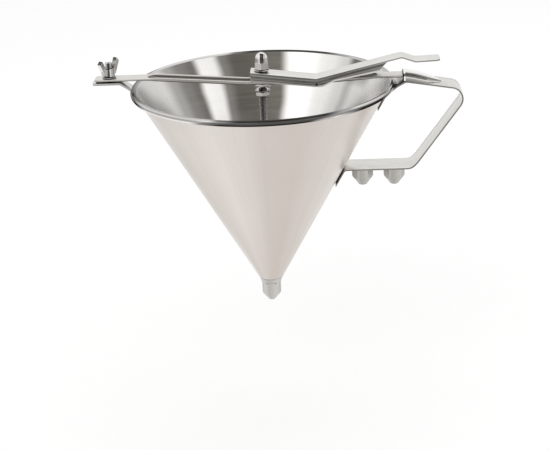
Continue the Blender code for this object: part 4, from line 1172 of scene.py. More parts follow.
class FUNNEL_OT_make_outlet(Operator):
    """Turn the outlet collar, the nozzle on it and the two spare nozzles"""

    bl_idname = "funnel.make_outlet"
    bl_label = "Make Outlet And Nozzles"

    def execute(self, context):
        cone, parts, tones = settings(context, "cone", "fasteners", "tones")
        light, dark = tones.turned_light, tones.turned_painted_dark
        steel = turned_steel("turned_outlet", light, mixed(light, dark, 0.6), 0.24)
        publish("outlet_collar", turned(self.outlet(cone, parts)), "funnel", ["outlet"], [steel])
        in_use = (light, mixed(light, dark, 0.55))
        spare = (mixed(light, dark, 0.35), dark)
        spare_sizes = (parts.spare_flats, parts.spare_hex, parts.spare_tip_radius)
        nozzles = (
            ("nozzle", in_use, (parts.nozzle_flats, parts.nozzle_hex, parts.tip_radius)),
            ("spare_nozzle_inner", spare, spare_sizes),
            ("spare_nozzle_outer", spare, spare_sizes),
        )
        for node, pair, sizes in nozzles:
            steel = turned_steel(f"turned_{node}", *pair, 0.26, centre=middle_of(node))
            bm = self.nozzle(node, *sizes, parts)
            publish(f"{node}_turned", bm, body_that_holds(node), [node], [steel], parts.edge / 2)
        return {"FINISHED"}

    def outlet(self, cone, parts):
        """Return the section of the outlet: a seat, a collar and the nipple under it."""
        top, low = OUTLET_HIGH.z, OUTLET_LOW.z
        edge = parts.edge
        collar = cone.collar_radius
        collar_low = NOZZLE_HIGH.z + cone.seam
        seat_radius = cone_inside(cone, top)
        return [
            (seat_radius, top),
            (cone_outside(cone, top), top),
            (collar, -cone.depth),
            (collar, collar_low + edge),
            (collar - edge, collar_low),
            (parts.nipple_radius, collar_low),
            (parts.nipple_radius, low + edge),
            (parts.nipple_radius - edge, low),
            (parts.outlet_bore, low),
            (parts.outlet_bore, top - (seat_radius - parts.outlet_bore)),
        ]

    def nozzle(self, node, flats, hexagon, tip, parts):
        """Return a nozzle: a hexagon with a socket above, and a blunt cone below."""
        low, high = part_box(node)
        edge = parts.edge
        shoulder = high.z - hexagon
        corner = corner_radius(flats)
        inner = flats / 2 * CHAMFER_START_SHARE
        slope = (shoulder - low.z) / (corner - tip)
        upper = nut_chamfer(flats, high.z, -1)
        lower = (inner, shoulder - (corner - inner) * slope), (corner, shoulder)
        socket = parts.nipple_radius + edge
        floor = high.z - parts.socket
        bore = tip * NOZZLE_BORE_SHARE
        before = [(socket, high.z), upper[0]]
        after = [
            lower[0],
            (tip + edge, low.z + edge),
            (tip - edge, low.z),
            (bore, low.z),
            (bore, floor - edge),
            (socket, floor),
        ]
        return spin_hexagon(flats, before, upper, lower, after, middle_of(node), math.pi / HEX_FLATS)


# The handle and the hood


def handle_route(cone, handle):
    """Return the middle line of the handle strip, from its upper weld leg to its lower one."""
    stand_off = (cone.seam / 2 + handle.sheet * handle.leg_share / 2) / math.cos(cone_lean(cone))
    below_curl = -2 * cone.curl_radius - handle.bend_radius
    strip_start = cone_outside(cone, -handle.strip_depth)
    lower_x = strip_start + handle.corner_out
    leg_end = -handle.strip_depth - handle.lower_leg
    corners = [
        (cone_outside(cone, -handle.upper_leg_depth) + stand_off, -handle.upper_leg_depth),
        (cone_outside(cone, below_curl) + stand_off, below_curl),
        (cone.rim_radius + handle.sheet, -RIM_PASS_SHARE * cone.curl_radius),
        (cone.rim_radius + handle.apex_out, handle.apex_height),
        (cone.rim_radius + handle.reach, -handle.shoulder_drop),
        (lower_x + handle.corner_radius / 2, -handle.strip_depth + handle.corner_radius / 2),
        (lower_x, -handle.strip_depth),
        (strip_start + stand_off, -handle.strip_depth),
        (cone_outside(cone, leg_end) + stand_off, leg_end),
    ]
    radii = [handle.bend_radius] * 3 + [handle.corner_radius] * 3 + [handle.bend_radius / 2]
    return rounded_route(corners, radii)


def strip_top(cone, handle, x):
    """Return the height of the handle strip's upper face between its apex and its shoulder."""
    fall = (handle.apex_height + handle.shoulder_drop) / (handle.reach - handle.apex_out)
    out = x - cone.rim_radius - handle.apex_out
    return handle.apex_height - max(out, 0) * fall + handle.sheet / 2 * math.hypot(1, fall)


class FUNNEL_OT_make_handle(Operator):
    """Bend the handle strip and form the arched hood on it"""

    bl_idname = "funnel.make_handle"
    bl_label = "Make Handle And Hood"

    def execute(self, context):
        cone, handle, tones = settings(context, "cone", "handle", "tones")
        light, dark = tones.strip_light, tones.strip_painted_dark
        steel = drawn_steel("polished_strip", light, dark, (30, 900, 30), 0.16, STRIP_PAINTED_SHADE_SHARES, "Y", 0.25)
        self.paint_root_shade(steel, cone, handle)
        route = handle_route(cone, handle)
        halves = [handle.width / 2] * len(route)
        bm = sweep_strip(route, halves, self.sheets(route, handle), handle.edge)
        publish("handle_strip", bm, "funnel", ["handle"], [steel])
        light = tones.mirror_light
        formed = drawn_steel("polished_hood", light, dark, (90, 40, 500), 0.12, HOOD_PAINTED_REFLECTION_SHARES, "Y", 0.2)
        self.paint_mouth_shadow_and_highlight(formed, tones, handle)
        publish("arched_hood", self.hood(cone, handle), "funnel", ["hood"], [formed], handle.edge / 2)
        return {"FINISHED"}

    def sheets(self, route, handle):
        """Return the strip's thickness along its route, thinner at both weld legs."""
        distances = [0]
        for before, after in zip(route, route[1:]):
            distances.append(distances[-1] + (after - before).length)
        sheets = []
        for distance in distances:
            from_end = min(distance, distances[-1] - distance)
            full = eased((from_end - handle.lower_leg * LEG_THIN_SHARE) / handle.bend_radius)
            sheets.append(handle.sheet * (handle.leg_share + (1 - handle.leg_share) * full))
        return sheets

    def paint_root_shade(self, steel, cone, handle):
        """Paint shade onto the strip between the rim and the hood."""
        out = steel.at("X")
        bend = handle.bend_radius
        end = cone.rim_radius + handle.apex_out + bend / 3
        inner = steel.spread(out, cone.rim_radius, cone.rim_radius + bend / 2)
        outer = steel.spread(out, end, end - bend / 3)
        upper = steel.spread(steel.at("Z"), -4 * bend, -3 * bend)
        steel.layer(steel.product(inner, outer, upper), steel.tone(ROOT_PAINTED_SHADE_SHARE))

    def paint_mouth_shadow_and_highlight(self, steel, tones, handle):
        """Paint a shadow line and a highlight on the lip around the hood's mouth."""
        along = steel.calculate("SUBTRACT", steel.at("X"), HOOD_LOW.x)
        for ends, painted_tone in ((MOUTH_PAINTED_HIGHLIGHT_SHARES, tones.mirror_light), (MOUTH_PAINTED_SHADOW_SHARES, tones.bead_painted_dark)):
            steel.keep(steel.spread(along, *[handle.hood_sheet * end for end in ends]), painted_tone)

    def hood(self, cone, handle):
        """Return the hood: an arched shell that runs out to a point on the strip."""
        rings = []
        for along in steps_between(0, 1, 1 / HOOD_STEPS):
            rise_share, half_share = smooth_table(HOOD_FORM_SHARES, along)
            x = HOOD_LOW.x + along * handle.hood_length
            low = strip_top(cone, handle, x) + cone.seam / 3
            top = strip_top(cone, handle, x) + cone.seam
            rise = handle.hood_rise * rise_share + top - low
            half = HOOD_HIGH.y * half_share
            inner_rise = max(rise - handle.hood_sheet, rise / 4)
            inner_half = max(half - handle.hood_sheet, half / 2)
            rings.append(self.arch(x, low, rise, half) + self.arch(x, low, inner_rise, inner_half)[::-1])
        return skin(rings)

    def arch(self, x, low, rise, half):
        """Return the points of one arch across the strip."""
        points = []
        for angle in steps_between(0, math.pi, math.pi / ARCH_STEPS):
            side = math.copysign(abs(math.cos(angle)) ** ARCH_POWER, math.cos(angle))
            points.append((x, half * side, low + rise * abs(math.sin(angle)) ** ARCH_POWER))
        return points


# The bridge, its lug and the lever


class FUNNEL_OT_make_lug(Operator):
    """Bend the lug that stands on the rim under the wing nut"""

    bl_idname = "funnel.make_lug"
    bl_label = "Make Lug"

    def execute(self, context):
        cone, handle, bridge, tones = settings(context, "cone", "handle", "bridge", "tones")
        level = LUG_HIGH.z - bridge.lug_sheet / 2
        neck = (-cone.rim_radius - bridge.lug_neck, level)
        bead = Vector((-cone.rim_radius + cone.curl_radius, -cone.curl_radius))
        foot = bead + (Vector(neck) - bead).normalized() * cone.curl_radius * LUG_FOOT_SHARE
        corner = bridge.width / 4
        start = LUG_LOW.x
        plain = rounded_route([(start + corner, level), neck, tuple(foot)], [handle.bend_radius])
        rounding = [Vector((x, level)) for x in steps_between(start, start + corner, corner / 12)[:-1]]
        route = rounding + plain
        halves = []
        for point in route:
            inside = min((point.x - start) / corner, 1)
            halves.append(bridge.width / 2 - corner_loss(corner, inside))
        halves[0] += corner * LUG_END_SHARE
        light, dark = tones.strip_light, tones.strip_painted_dark
        steel = drawn_steel("polished_lug", light, dark, (40, 900, 40), 0.18, LUG_PAINTED_SHADE_SHARES)
        bm = sweep_strip(route, halves, [bridge.lug_sheet] * len(route), bridge.edge * 2)
        publish("bent_lug", bm, "funnel", ["lug"], [steel])
        return {"FINISHED"}


class FUNNEL_OT_make_bridge(Operator):
    """Press the bridge bar: flat ends, a grooved middle and two ears for the lever's pin"""

    bl_idname = "funnel.make_bridge"
    bl_label = "Make Bridge"

    def execute(self, context):
        names = ("cone", "bridge", "lever", "fasteners", "tones")
        cone, bridge, lever, parts, tones = settings(context, *names)
        self.bridge = bridge
        self.tab = cone.rim_radius - bridge.tab_inset
        self.half = bridge.width / 2
        self.groove = self.half - bridge.side
        over = bridge.sheet * 3
        holes = [
            upright_cylinder((0, 0), BUSH_HOLE_RADIUS, BUSH_LOW.z - over, BUSH_HIGH.z + over),
            upright_cylinder((STUD_X, 0), parts.stud_radius + cone.seam, STUD_LOW.z - over, STUD_HIGH.z),
        ]
        bm = without(skin([self.section(x) for x in self.places()]), holes)
        self.add_ears(bm, PIVOT.z - PIN_RADIUS - lever.below_pin)
        light, dark = tones.bridge_light, tones.bridge_painted_dark
        steel = drawn_steel("brushed_bridge", light, dark, (12, 1400, 1400), 0.30, BRIDGE_PAINTED_SHADE_SHARES, streak=0.16)
        piece = publish("pressed_bridge", bm, "funnel", ["bar"], [steel])
        mark_points(piece, "sunk", self.sunk_at)
        mark_points(piece, "above_foot", self.above_foot)
        self.paint_groove_and_foot_shadow(steel)
        return {"FINISHED"}

    def paint_groove_and_foot_shadow(self, steel):
        """Paint shadow into the groove's floor and along the feet of the channel's sides."""
        # Painted shadow in the groove's floor, darker towards the handle end
        towards = steel.spread(steel.at("X"), PIVOT.x, self.tab - self.bridge.ramp)
        floor = steel.blend(towards, steel.tone(0.95), steel.tone(1.09))
        steel.layer(steel.spread(steel.marked("sunk"), 0.15, 0.7), floor)
        # Painted shadow line along the feet of the channel's sides
        foot = self.bridge.foot
        line = steel.spread(steel.marked("above_foot"), foot, foot * 0.7)
        steel.layer(steel.product(line, steel.sidelong()), steel.tone(0.95))

    def above_foot(self, place):
        """Return a point's height above the side's foot, stretched where the sides are lower."""
        bridge = self.bridge
        full = bridge.sheet + bridge.lip
        return (place.z - self.foot(place.x)) * full / (bridge.sheet + bridge.lip * self.lip_share(place.x))

    def sunk_at(self, place):
        """Return how far a point of the upper face lies in the groove, from 0 to 1."""
        if place.z < self.underside(place.x) + self.bridge.sheet / 3:
            return 0
        return self.floor_share(place.x, place.y)

    def floor_share(self, x, y):
        """Return how far the groove has reached its floor, from 0 at its rim to 1."""
        start, end = self.groove_ends()
        beyond = max(start + self.groove - x, x - end + self.groove, 0)
        depth = self.groove - math.hypot(beyond, y)
        return eased(0.5 + depth / (self.bridge.sheet / 2))

    def places(self):
        """Return the sections' places along the bar, close together at its ends and groove ends."""
        corner = self.bridge.width / 4
        start, end = self.groove_ends()
        fine = self.bridge.ramp / 18
        stretches = (
            (BAR_LOW.x, BAR_LOW.x + corner),
            (BAR_HIGH.x - corner, BAR_HIGH.x),
            (start - fine, start + self.half),
            (end - self.half, end + fine),
        )
        return places_along(BAR_LOW.x, BAR_HIGH.x, self.bridge.ramp / 6, fine, stretches)

    def groove_ends(self):
        """Return where the groove begins and ends along the bar."""
        over = self.bridge.ramp / 10
        return (-self.tab - over, self.tab + over)

    def underside(self, x):
        """Return the height of the bar's underside."""
        bridge = self.bridge
        rows = (
            (-self.tab, bridge.far_height),
            (-bridge.middle_reach, bridge.middle_height),
            (PIVOT.x + bridge.middle_reach, bridge.middle_height),
            (self.tab, bridge.near_height),
        )
        return along_table(rows, x)

    def foot(self, x):
        """Return the height of the feet of the channel's sides."""
        return self.underside(x) - self.bridge.drop * self.lip_share(x)

    def lip_share(self, x):
        """Return how far the channel's sides have risen."""
        bridge = self.bridge
        ends = eased((self.tab - abs(x)) / (bridge.ramp if x < 0 else bridge.near_ramp))
        gap_back = PIVOT.x - bridge.middle_reach
        gap_front = PIVOT.x + bridge.middle_reach * bridge.gap_share
        return ends * eased(max((gap_back - x) / bridge.lip, (x - gap_front) / bridge.lip))

    def plan_half(self, x):
        """Return half the bar's width, which closes in round corners at both ends."""
        corner = self.bridge.width / 4
        inside = min((x - BAR_LOW.x) / corner, (BAR_HIGH.x - x) / corner, 1)
        return self.half - corner_loss(corner, inside)

    def section(self, x):
        """Return the ring of points of the bar's section at one place."""
        bridge = self.bridge
        edge = bridge.edge
        low = self.underside(x)
        foot = self.foot(x)
        half = self.plan_half(x)
        lip = bridge.lip * self.lip_share(x)
        inner = max(half - bridge.side, half / 2)
        left = [(-half, foot + bridge.foot), (-half, foot + edge), (-half + edge, foot)]
        ring = with_mirror_image(left + [(-inner, foot), (-inner + edge, low)])
        for index in range(BAR_STEPS + 1):
            y = half * (1 - 2 * index / BAR_STEPS)
            sunk = self.floor_share(x, y)
            height = low + bridge.sheet + lip * (1 - sunk) - bridge.sink * sunk
            inside = min((half - abs(y)) / (2 * edge), 1)
            ring.append((y, height - corner_loss(edge, inside)))
        return [(x, y, height) for y, height in ring]

    def add_ears(self, bm, low):
        """Add the two rounded ears that hang beside the lever's pin."""
        reach = 4 * PIN_RADIUS
        top = self.bridge.middle_height + self.bridge.edge
        left = [(-reach - PIN_RADIUS, top), (-reach, (top + low) / 2), (-reach + PIN_RADIUS, low)]
        for side in (-1, 1):
            rings = []
            for across in (self.groove, self.half - self.bridge.edge):
                rings.append([(PIVOT.x + x, side * across, height) for x, height in with_mirror_image(left)])
            join_shape(bm, skin(rings))


class FUNNEL_OT_make_lever(Operator):
    """Fold the thumb lever with its dip over the pivot and its flat thumb plate"""

    bl_idname = "funnel.make_lever"
    bl_label = "Make Lever"

    def execute(self, context):
        lever, cone, tones, parts = settings(context, "lever", "cone", "tones", "fasteners")
        self.lever = lever
        self.lows = self.side_edges()
        self.corner = LEVER_HIGH.y / 3
        bend = 2 * lever.bend
        stretches = (
            (-lever.back, -lever.back + 4 * lever.sheet),
            (PIVOT.x - bend, PIVOT.x + bend),
            (lever.peak_x - bend, lever.peak_x + bend),
            (lever.end_x - self.corner, lever.end_x),
        )
        places = places_along(-lever.back, lever.end_x, lever.sheet, lever.sheet / 3, stretches)
        bm = without(skin([self.section(x) for x in places]), [self.rod_slot(parts, cone)])
        light, dark = tones.lever_light, tones.lever_painted_dark
        steel = drawn_steel("brushed_lever", light, dark, (14, 1500, 1500), 0.28, LEVER_PAINTED_SHADE_SHARES, streak=0.16)
        self.grind_sides_and_paint_highlight(steel)
        piece = publish("folded_lever", bm, "lever", ["lever"], [steel])
        mark_points(piece, "below_fold", lambda place: self.top(place.x) - place.z)
        mark_points(piece, "above_edge", lambda place: place.z - along_table(self.lows, place.x))
        return {"FINISHED"}

    def grind_sides_and_paint_highlight(self, steel):
        """Draw grinding lines along the lever's sides and paint a highlight line at their lower edge."""
        lever = self.lever
        down = steel.calculate("MULTIPLY", steel.marked("below_fold"), GRIND_DOWN)
        along = steel.calculate("MULTIPLY", steel.at("X"), GRIND_ALONG)
        ground_place = steel.add("ShaderNodeCombineXYZ", {0: down, 1: along}).outputs[0]
        lines = steel.noise(ground_place, 1.0, 1.0, 0.4)
        sidelong = steel.sidelong()
        steel.layer(steel.product(steel.spread(lines, 0.48, 0.57, 0.0, 0.34), sidelong), steel.first)
        # Painted highlight along the lower edge of the sides, fainter towards the pivot
        run_out = steel.spread(steel.at("X"), lever.flange_end_x + lever.sheet, lever.flange_end_x)
        front = steel.spread(steel.at("X"), PIVOT.x, lever.flange_mid_x, 0.35, 1.0)
        line = steel.spread(steel.marked("above_edge"), *PAINTED_HIGHLIGHT_HEIGHTS)
        steel.layer(steel.product(front, run_out, steel.product(line, sidelong)), PAINTED_HIGHLIGHT_TONE)

    def top(self, x):
        """Return the height of the lever's upper face, with soft bends."""
        lever = self.lever
        back_slope = -lever.back_rise / (PIVOT.x + lever.back)
        peak_slope = lever.peak_rise / (lever.peak_x - PIVOT.x)
        tail = lever.end_x - lever.peak_x
        fall = tail * lever.thumb_share
        bends = (
            (PIVOT.x, peak_slope - back_slope),
            (lever.peak_x, -lever.thumb_drop / fall - peak_slope),
            (lever.peak_x + fall, lever.sheet / tail + lever.thumb_drop / fall),
        )
        height = lever.vee_height + (x - PIVOT.x) * back_slope
        for place, change in bends:
            out = x - place
            if out > lever.bend:
                height += change * out
            elif out > -lever.bend:
                height += change * (out + lever.bend) ** 2 / (4 * lever.bend)
        return height

    def side_edges(self):
        """Return the table of the sides' lower edge along the lever."""
        lever = self.lever
        vee = PIVOT.z - PIN_RADIUS - lever.below_pin
        back_low = self.top(-lever.back) - lever.back_flange
        rows = []
        for turn in (0, 0.25, 0.5, 0.75, 1):
            angle = turn * math.pi / 2
            along = BACK_CORNER_LENGTH_SHARE * lever.sheet * (1 - math.cos(angle))
            rise = BACK_CORNER_DEPTH_SHARE * lever.sheet * (1 - math.sin(angle))
            rows.append((-lever.back + along, back_low + rise))
        slant_x = lever.flange_end_x + lever.slant
        return rows + [
            (PIVOT.x - VEE_BACK_SHARE * PIN_RADIUS, vee),
            (PIVOT.x + VEE_FRONT_SHARE * PIN_RADIUS, vee),
            (lever.flange_mid_x, self.top(lever.flange_mid_x) - lever.flange_mid),
            (lever.flange_end_x, self.top(lever.flange_end_x) - lever.flange_end),
            (slant_x, self.top(slant_x) - lever.sheet),
        ]

    def section(self, x):
        """Return the ring of points of the folded section at one place."""
        lever = self.lever
        sheet = lever.sheet
        top = self.top(x)
        half = LEVER_HIGH.y
        near_end = lever.end_x - x
        if near_end < self.corner:
            half -= corner_loss(self.corner, near_end / self.corner) * LEVER_END_SHARE
        plate = top - sheet * LEVER_PLATE_SHARE
        low = min(along_table(self.lows, x), plate) if x < lever.flange_end_x + lever.slant else plate
        fold = min(lever.fold, (top - low) * FOLD_DEPTH_SHARE)
        inner_fold = min(lever.fold / 3, (top - sheet - low) * INNER_FOLD_DEPTH_SHARE)
        outer = [(half, low), (half, low + (top - fold - low) * SIDE_LINE_SHARE)]
        outer += arc(half - fold, top - fold, fold, (0, 22.5, 45, 67.5, 90))
        inner = [(half - sheet, low)]
        inner += arc(half - sheet - inner_fold, top - sheet - inner_fold, inner_fold, (0, 45, 90))
        ring = []
        for side, points in ((-1, outer), (1, outer[::-1]), (1, inner), (-1, inner[::-1])):
            ring += [(x, side * across, height) for across, height in points]
        return ring

    def rod_slot(self, parts, cone):
        """Return the cutter of the slot that the valve rod passes through."""
        reach = parts.rod_radius + 4 * cone.seam
        side = parts.rod_radius + cone.seam
        over = 4 * self.lever.sheet
        rings = []
        for height in (self.top(0) - over, self.top(0) + over):
            rings.append([(x, y, height) for x, y in ((-reach, -side), (reach, -side), (reach, side), (-reach, side))])
        return skin(rings)


# The fasteners and the valve


class FUNNEL_OT_make_wing_nut(Operator):
    """Cast the wing nut and turn the threaded stud under it"""

    bl_idname = "funnel.make_wing_nut"
    bl_label = "Make Wing Nut"

    def execute(self, context):
        parts, tones = settings(context, "fasteners", "tones")
        light, dark = tones.nut_light, tones.nut_painted_dark
        casting = self.cast(parts)
        steel = cast_steel("cast_wing_nut", light, dark)
        publish("cast_wing_nut", casting, "wing_nut", ["wing_nut"], [steel], sharp=CASTING_SHARP_ANGLE)
        centre = (STUD_X, 0)
        thread = turned_steel("threaded_stud", light, dark, 0.22, NUT_PAINTED_REFLECTION_SHARES, centre, STUD_THREAD)
        top, low = STUD_HIGH.z, STUD_LOW.z
        foot_radius = (STUD_HIGH.x - STUD_LOW.x) / 2
        radius = parts.stud_radius
        section = [
            (0, low),
            (foot_radius, low),
            (foot_radius, low + parts.foot),
            (radius, low + parts.foot),
            (radius, top - 2 * parts.edge),
            (radius - 2 * parts.edge, top),
            (0, top),
        ]
        publish("threaded_stud", turned(section, centre), "funnel", ["stud"], [thread])
        return {"FINISHED"}

    def cast(self, parts):
        """Return the hub and the wings, joined and rounded like a casting."""
        base = WING_LOW.z
        rise = WING_HIGH.z - base
        bore = parts.stud_radius + parts.edge
        hub = [
            (bore, base),
            (parts.hub_radius - parts.edge, base),
            (parts.hub_radius, base + parts.edge),
            (parts.hub_radius * HUB_TOP_SHARE, base + parts.hub_height),
            (bore, base + parts.hub_height),
        ]
        bm = turned(hub, (STUD_X, 0))
        turn = Matrix.Rotation(parts.wing_turn, 4, "Z")
        for side in (-1, 1):
            rings = []
            for off in (-0.5, 0.5):
                ring = []
                for out, up in WING_FORM_SHARES:
                    place = turn @ Vector((side * out * parts.wing_span / 2, off * parts.wing_sheet, 0))
                    ring.append((STUD_X + place.x, place.y, base + up * rise))
                rings.append(ring)
            join_shape(bm, skin(rings))
        rough = put_in_scene("rough_casting", mesh_of("rough_casting", bm))
        modify(rough, "fuse", "REMESH", mode="VOXEL", voxel_size=CASTING_VOXEL)
        modify(rough, "soften", "SMOOTH", iterations=2)
        return applied(rough)


class FUNNEL_OT_make_valve(Operator):
    """Turn the valve rod with its nuts and washers, and the wing nut's washer"""

    bl_idname = "funnel.make_valve"
    bl_label = "Make Valve"

    def execute(self, context):
        parts, tones = settings(context, "fasteners", "tones")
        light, dark = tones.nut_light, tones.nut_painted_dark
        edge = parts.edge
        bore = parts.rod_radius + edge
        steel = polished_nut("polished_nuts", light, dark)
        publish("domed_nut", self.domed_nut(parts, bore), "plunger", ["cap_nut"], [steel], edge / 2)
        for node, shape in (("stop_nut", self.stop_nut), ("guide_nut", self.guide_nut)):
            publish(f"{node}_polished", shape(parts, bore), body_that_holds(node), [node], [steel], edge / 2)
        steel = turned_steel("polished_washers", light, dark, 0.18)
        for node in ("rod_washer", "stop_washer", "wing_washer"):
            inner = bore if node != "wing_washer" else parts.stud_radius + edge
            low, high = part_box(node)
            section = round_section(inner, (high.x - low.x) / 2, low.z, high.z, edge)
            bm = turned(section, middle_of(node))
            publish(f"{node}_polished", bm, body_that_holds(node), [node], [steel])
        steel = turned_steel("threaded_rod", tones.turned_light, dark, 0.22, thread=ROD_THREAD)
        section = round_section(0, parts.rod_radius, ROD_LOW.z, ROD_HIGH.z, edge)
        publish("threaded_rod", turned(section), "plunger", ["rod"], [steel])
        return {"FINISHED"}

    def stop_nut(self, parts, bore):
        """Return a hexagon nut."""
        low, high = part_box("stop_nut")
        upper = nut_chamfer(parts.cap_flats, high.z, -1)
        lower = nut_chamfer(parts.cap_flats, low.z, 1)
        before = [(bore, high.z), upper[0]]
        return spin_hexagon(parts.cap_flats, before, upper, lower, [lower[0], (bore, low.z)])

    def guide_nut(self, parts, rod_bore):
        """Return a hexagon nut with a round collar under it."""
        low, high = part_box("guide_nut")
        bore = rod_bore + 4 * parts.edge
        upper = nut_chamfer(parts.cap_flats, high.z, -1)
        collar = (high.x - low.x) / 2
        collar_top = low.z + parts.guide_collar
        lower = (parts.cap_flats / 2, collar_top), (corner_radius(parts.cap_flats), collar_top)
        before = [(bore, high.z), upper[0]]
        foot = [(collar, collar_top), (collar, low.z + parts.edge), (collar - parts.edge, low.z), (bore, low.z)]
        return spin_hexagon(parts.cap_flats, before, upper, lower, foot)

    def domed_nut(self, parts, bore):
        """Return the domed nut with a blind bore."""
        low, high = CAP_LOW.z, CAP_HIGH.z
        dome_low = high - parts.dome
        upper = nut_chamfer(parts.cap_flats, low + parts.cap_hex, -1)
        lower = nut_chamfer(parts.cap_flats, low, 1)
        dome = [(0, high)]
        for angle in steps_between(0, math.pi / 2, ARC_STEP)[1:]:
            dome.append((parts.dome * math.sin(angle), dome_low + parts.dome * math.cos(angle)))
        before = dome + [(parts.dome, upper[0][1]), upper[0]]
        floor = ROD_HIGH.z + parts.edge
        after = [lower[0], (bore, low), (bore, floor), (0, floor)]
        return spin_hexagon(parts.cap_flats, before, upper, lower, after)


class FUNNEL_OT_dress_packed(Operator):
    """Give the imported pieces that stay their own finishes"""

    bl_idname = "funnel.dress_packed"
    bl_label = "Dress Packed Pieces"

    def execute(self, context):
        (tones,) = settings(context, "tones")
        light, dark = tones.turned_light, tones.turned_painted_dark
        dress("plug", turned_steel("turned_plug", light, dark, 0.24))
        dress("guide_bush", turned_steel("turned_bush", light, dark, 0.2))
        dress("plug_ring", soft_seal("dark_seal", tones.seal, 0.45))
        dress("nozzle_gasket", soft_seal("pale_gasket", tones.gasket, 0.50))
        light, dark = tones.lever_light, tones.lever_painted_dark
        dress("lever_pin", drawn_steel("polished_pin", light, dark, (900, 20, 900), 0.2, PIN_PAINTED_SHADE_SHARES))
        light, dark = tones.turned_light, tones.turned_painted_dark
        for node in ("spare_stud_inner", "spare_stud_outer"):
            dress(node, turned_steel(f"turned_{node}", light, dark, 0.26, centre=middle_of(node)))
        return {"FINISHED"}


# The studio


def rotated(first, second, angle):
    """Turn two square directions in their own plane."""
    cosine, sine = math.cos(angle), math.sin(angle)
    return cosine * first + sine * second, cosine * second - sine * first


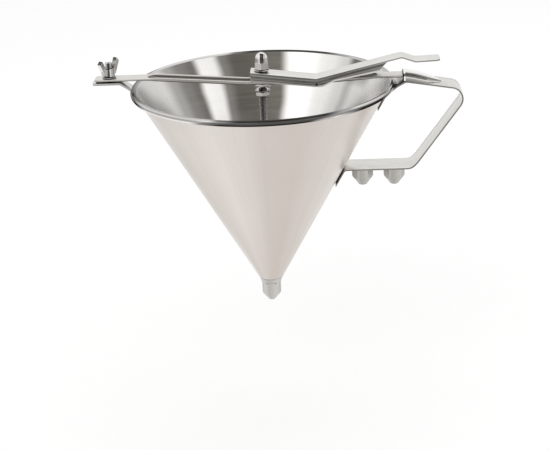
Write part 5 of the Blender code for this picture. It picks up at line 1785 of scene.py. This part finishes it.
class FUNNEL_OT_set_stage(Operator):
    """Set the pale floor, the soft lights and the camera"""

    bl_idname = "funnel.set_stage"
    bl_label = "Set Stage"

    def execute(self, context):
        stage, tones = settings(context, "stage", "tones")
        context.scene.view_settings.view_transform = "Standard"
        self.place_camera(context, stage)
        self.light_world(context)
        for lamp in LAMPS:
            self.hang_lamp(*lamp)
        self.lay_floor(stage, tones)
        return {"FINISHED"}

    def place_camera(self, context, stage):
        """Stand the camera at the photograph's angle, with its small roll."""
        flat = math.cos(CAMERA_ELEVATION)
        across, ahead = math.sin(CAMERA_AZIMUTH) * flat, -math.cos(CAMERA_AZIMUTH) * flat
        towards = Vector((across, ahead, math.sin(CAMERA_ELEVATION)))
        forward = -towards
        right = forward.cross(Vector((0, 0, 1))).normalized()
        upward = right.cross(forward)
        forward, right = rotated(forward, right, CAMERA_YAW)
        forward, upward = rotated(forward, upward, -CAMERA_PITCH)
        right, upward = rotated(right, upward, -CAMERA_ROLL)
        data = bpy.data.cameras.new("camera")
        data.sensor_width = SENSOR_WIDTH
        data.lens = stage.camera_lens
        data.clip_end = VIEW_END
        camera = put_in_scene("camera", data)
        turn = Matrix((right, upward, -forward)).transposed().to_4x4()
        camera.matrix_world = Matrix.Translation(towards * stage.camera_distance) @ turn
        context.scene.camera = camera

    def light_world(self, context):
        """Show white to the camera and to mirrors, and light the scene with a softer grey."""
        world = bpy.data.worlds.new("studio")
        context.scene.world = world
        world.use_nodes = True
        nodes = Nodes(world.node_tree)
        soft = nodes.add("ShaderNodeBackground", {"Color": SKY_TONE, "Strength": SKY_POWER})
        white = nodes.add("ShaderNodeBackground", {"Color": WHITE, "Strength": 1.0})
        inputs = {0: nodes.seen_directly(), 1: soft.outputs[0], 2: white.outputs[0]}
        mix = nodes.add("ShaderNodeMixShader", inputs)
        nodes.feed(nodes.tree.nodes["World Output"].inputs["Surface"], mix.outputs[0])

    def hang_lamp(self, name, place, size, power):
        """Hang a soft square lamp that looks at the funnel."""
        data = bpy.data.lights.new(name, "AREA")
        data.shape = "SQUARE"
        data.size = size
        data.energy = power
        lamp = put_in_scene(name, data)
        lamp.location = place
        lamp.rotation_euler = (LAMP_AIM - Vector(place)).to_track_quat("-Z", "Y").to_euler()

    def lay_floor(self, stage, tones):
        """Lay the pale floor, which shows white and keeps the funnel's shadow."""
        height = NOZZLE_LOW.z - stage.floor_gap
        reach = stage.floor_size / 2
        corners = [(x, y, height) for x, y in ((-reach, -reach), (reach, -reach), (reach, reach), (-reach, reach))]
        mesh = bpy.data.meshes.new("floor")
        mesh.from_pydata(corners, [], [(0, 1, 2, 3)])
        floor = put_in_scene("floor", mesh)
        pale = Finish("pale_floor", tones.floor, WHITE, metallic=0.0)
        pale.layer(pale.varied(pale.noise(pale.place, 60.0), 0, 0.15), pale.tone(0.5))
        pale.shade("Roughness", 0.9)
        pale.shade("Specular IOR Level", 0.0)
        strength = pale.calculate("MULTIPLY", pale.seen_directly(), FLOOR_GLOW)
        glow = pale.add("ShaderNodeEmission", {"Color": WHITE, "Strength": strength})
        both = pale.add("ShaderNodeAddShader", {0: pale.shader.outputs[0], 1: glow.outputs[0]})
        pale.feed(pale.tree.nodes["Material Output"].inputs["Surface"], both.outputs[0])
        mesh.materials.append(pale.material)


MAKERS = (
    FUNNEL_OT_make_hopper,
    FUNNEL_OT_make_outlet,
    FUNNEL_OT_make_handle,
    FUNNEL_OT_make_lug,
    FUNNEL_OT_make_bridge,
    FUNNEL_OT_make_lever,
    FUNNEL_OT_make_wing_nut,
    FUNNEL_OT_make_valve,
    FUNNEL_OT_dress_packed,
    FUNNEL_OT_set_stage,
)


class FUNNEL_PT_sidebar(Panel):
    """Lists the funnel's sizes, colours and makers"""

    bl_label = "Dispensing Funnel"
    bl_space_type = "VIEW_3D"
    bl_region_type = "UI"
    bl_category = "Funnel"

    def draw(self, context):
        column = self.layout.column(align=True)
        for maker in MAKERS:
            column.operator(maker.bl_idname)
        for name, kind in GROUPS.items():
            box = self.layout.box()
            box.label(text=name.replace("funnel_", "").title())
            for size in kind.__annotations__:
                box.prop(getattr(context.scene, name), size)


CLASSES = (*GROUPS.values(), *MAKERS, FUNNEL_PT_sidebar)


def register():
    """Add the funnel's settings, makers and panel."""
    for item in CLASSES:
        bpy.utils.register_class(item)
    for name, group in GROUPS.items():
        setattr(bpy.types.Scene, name, PointerProperty(type=group))


def unregister():
    """Take the funnel's settings, makers and panel away."""
    for name in GROUPS:
        delattr(bpy.types.Scene, name)
    for item in reversed(CLASSES):
        bpy.utils.unregister_class(item)


def main():
    """Make every piece in order."""
    register()
    for maker in MAKERS:
        getattr(bpy.ops.funnel, maker.bl_idname.split(".")[1])()


if __name__ == "__main__":
    main()
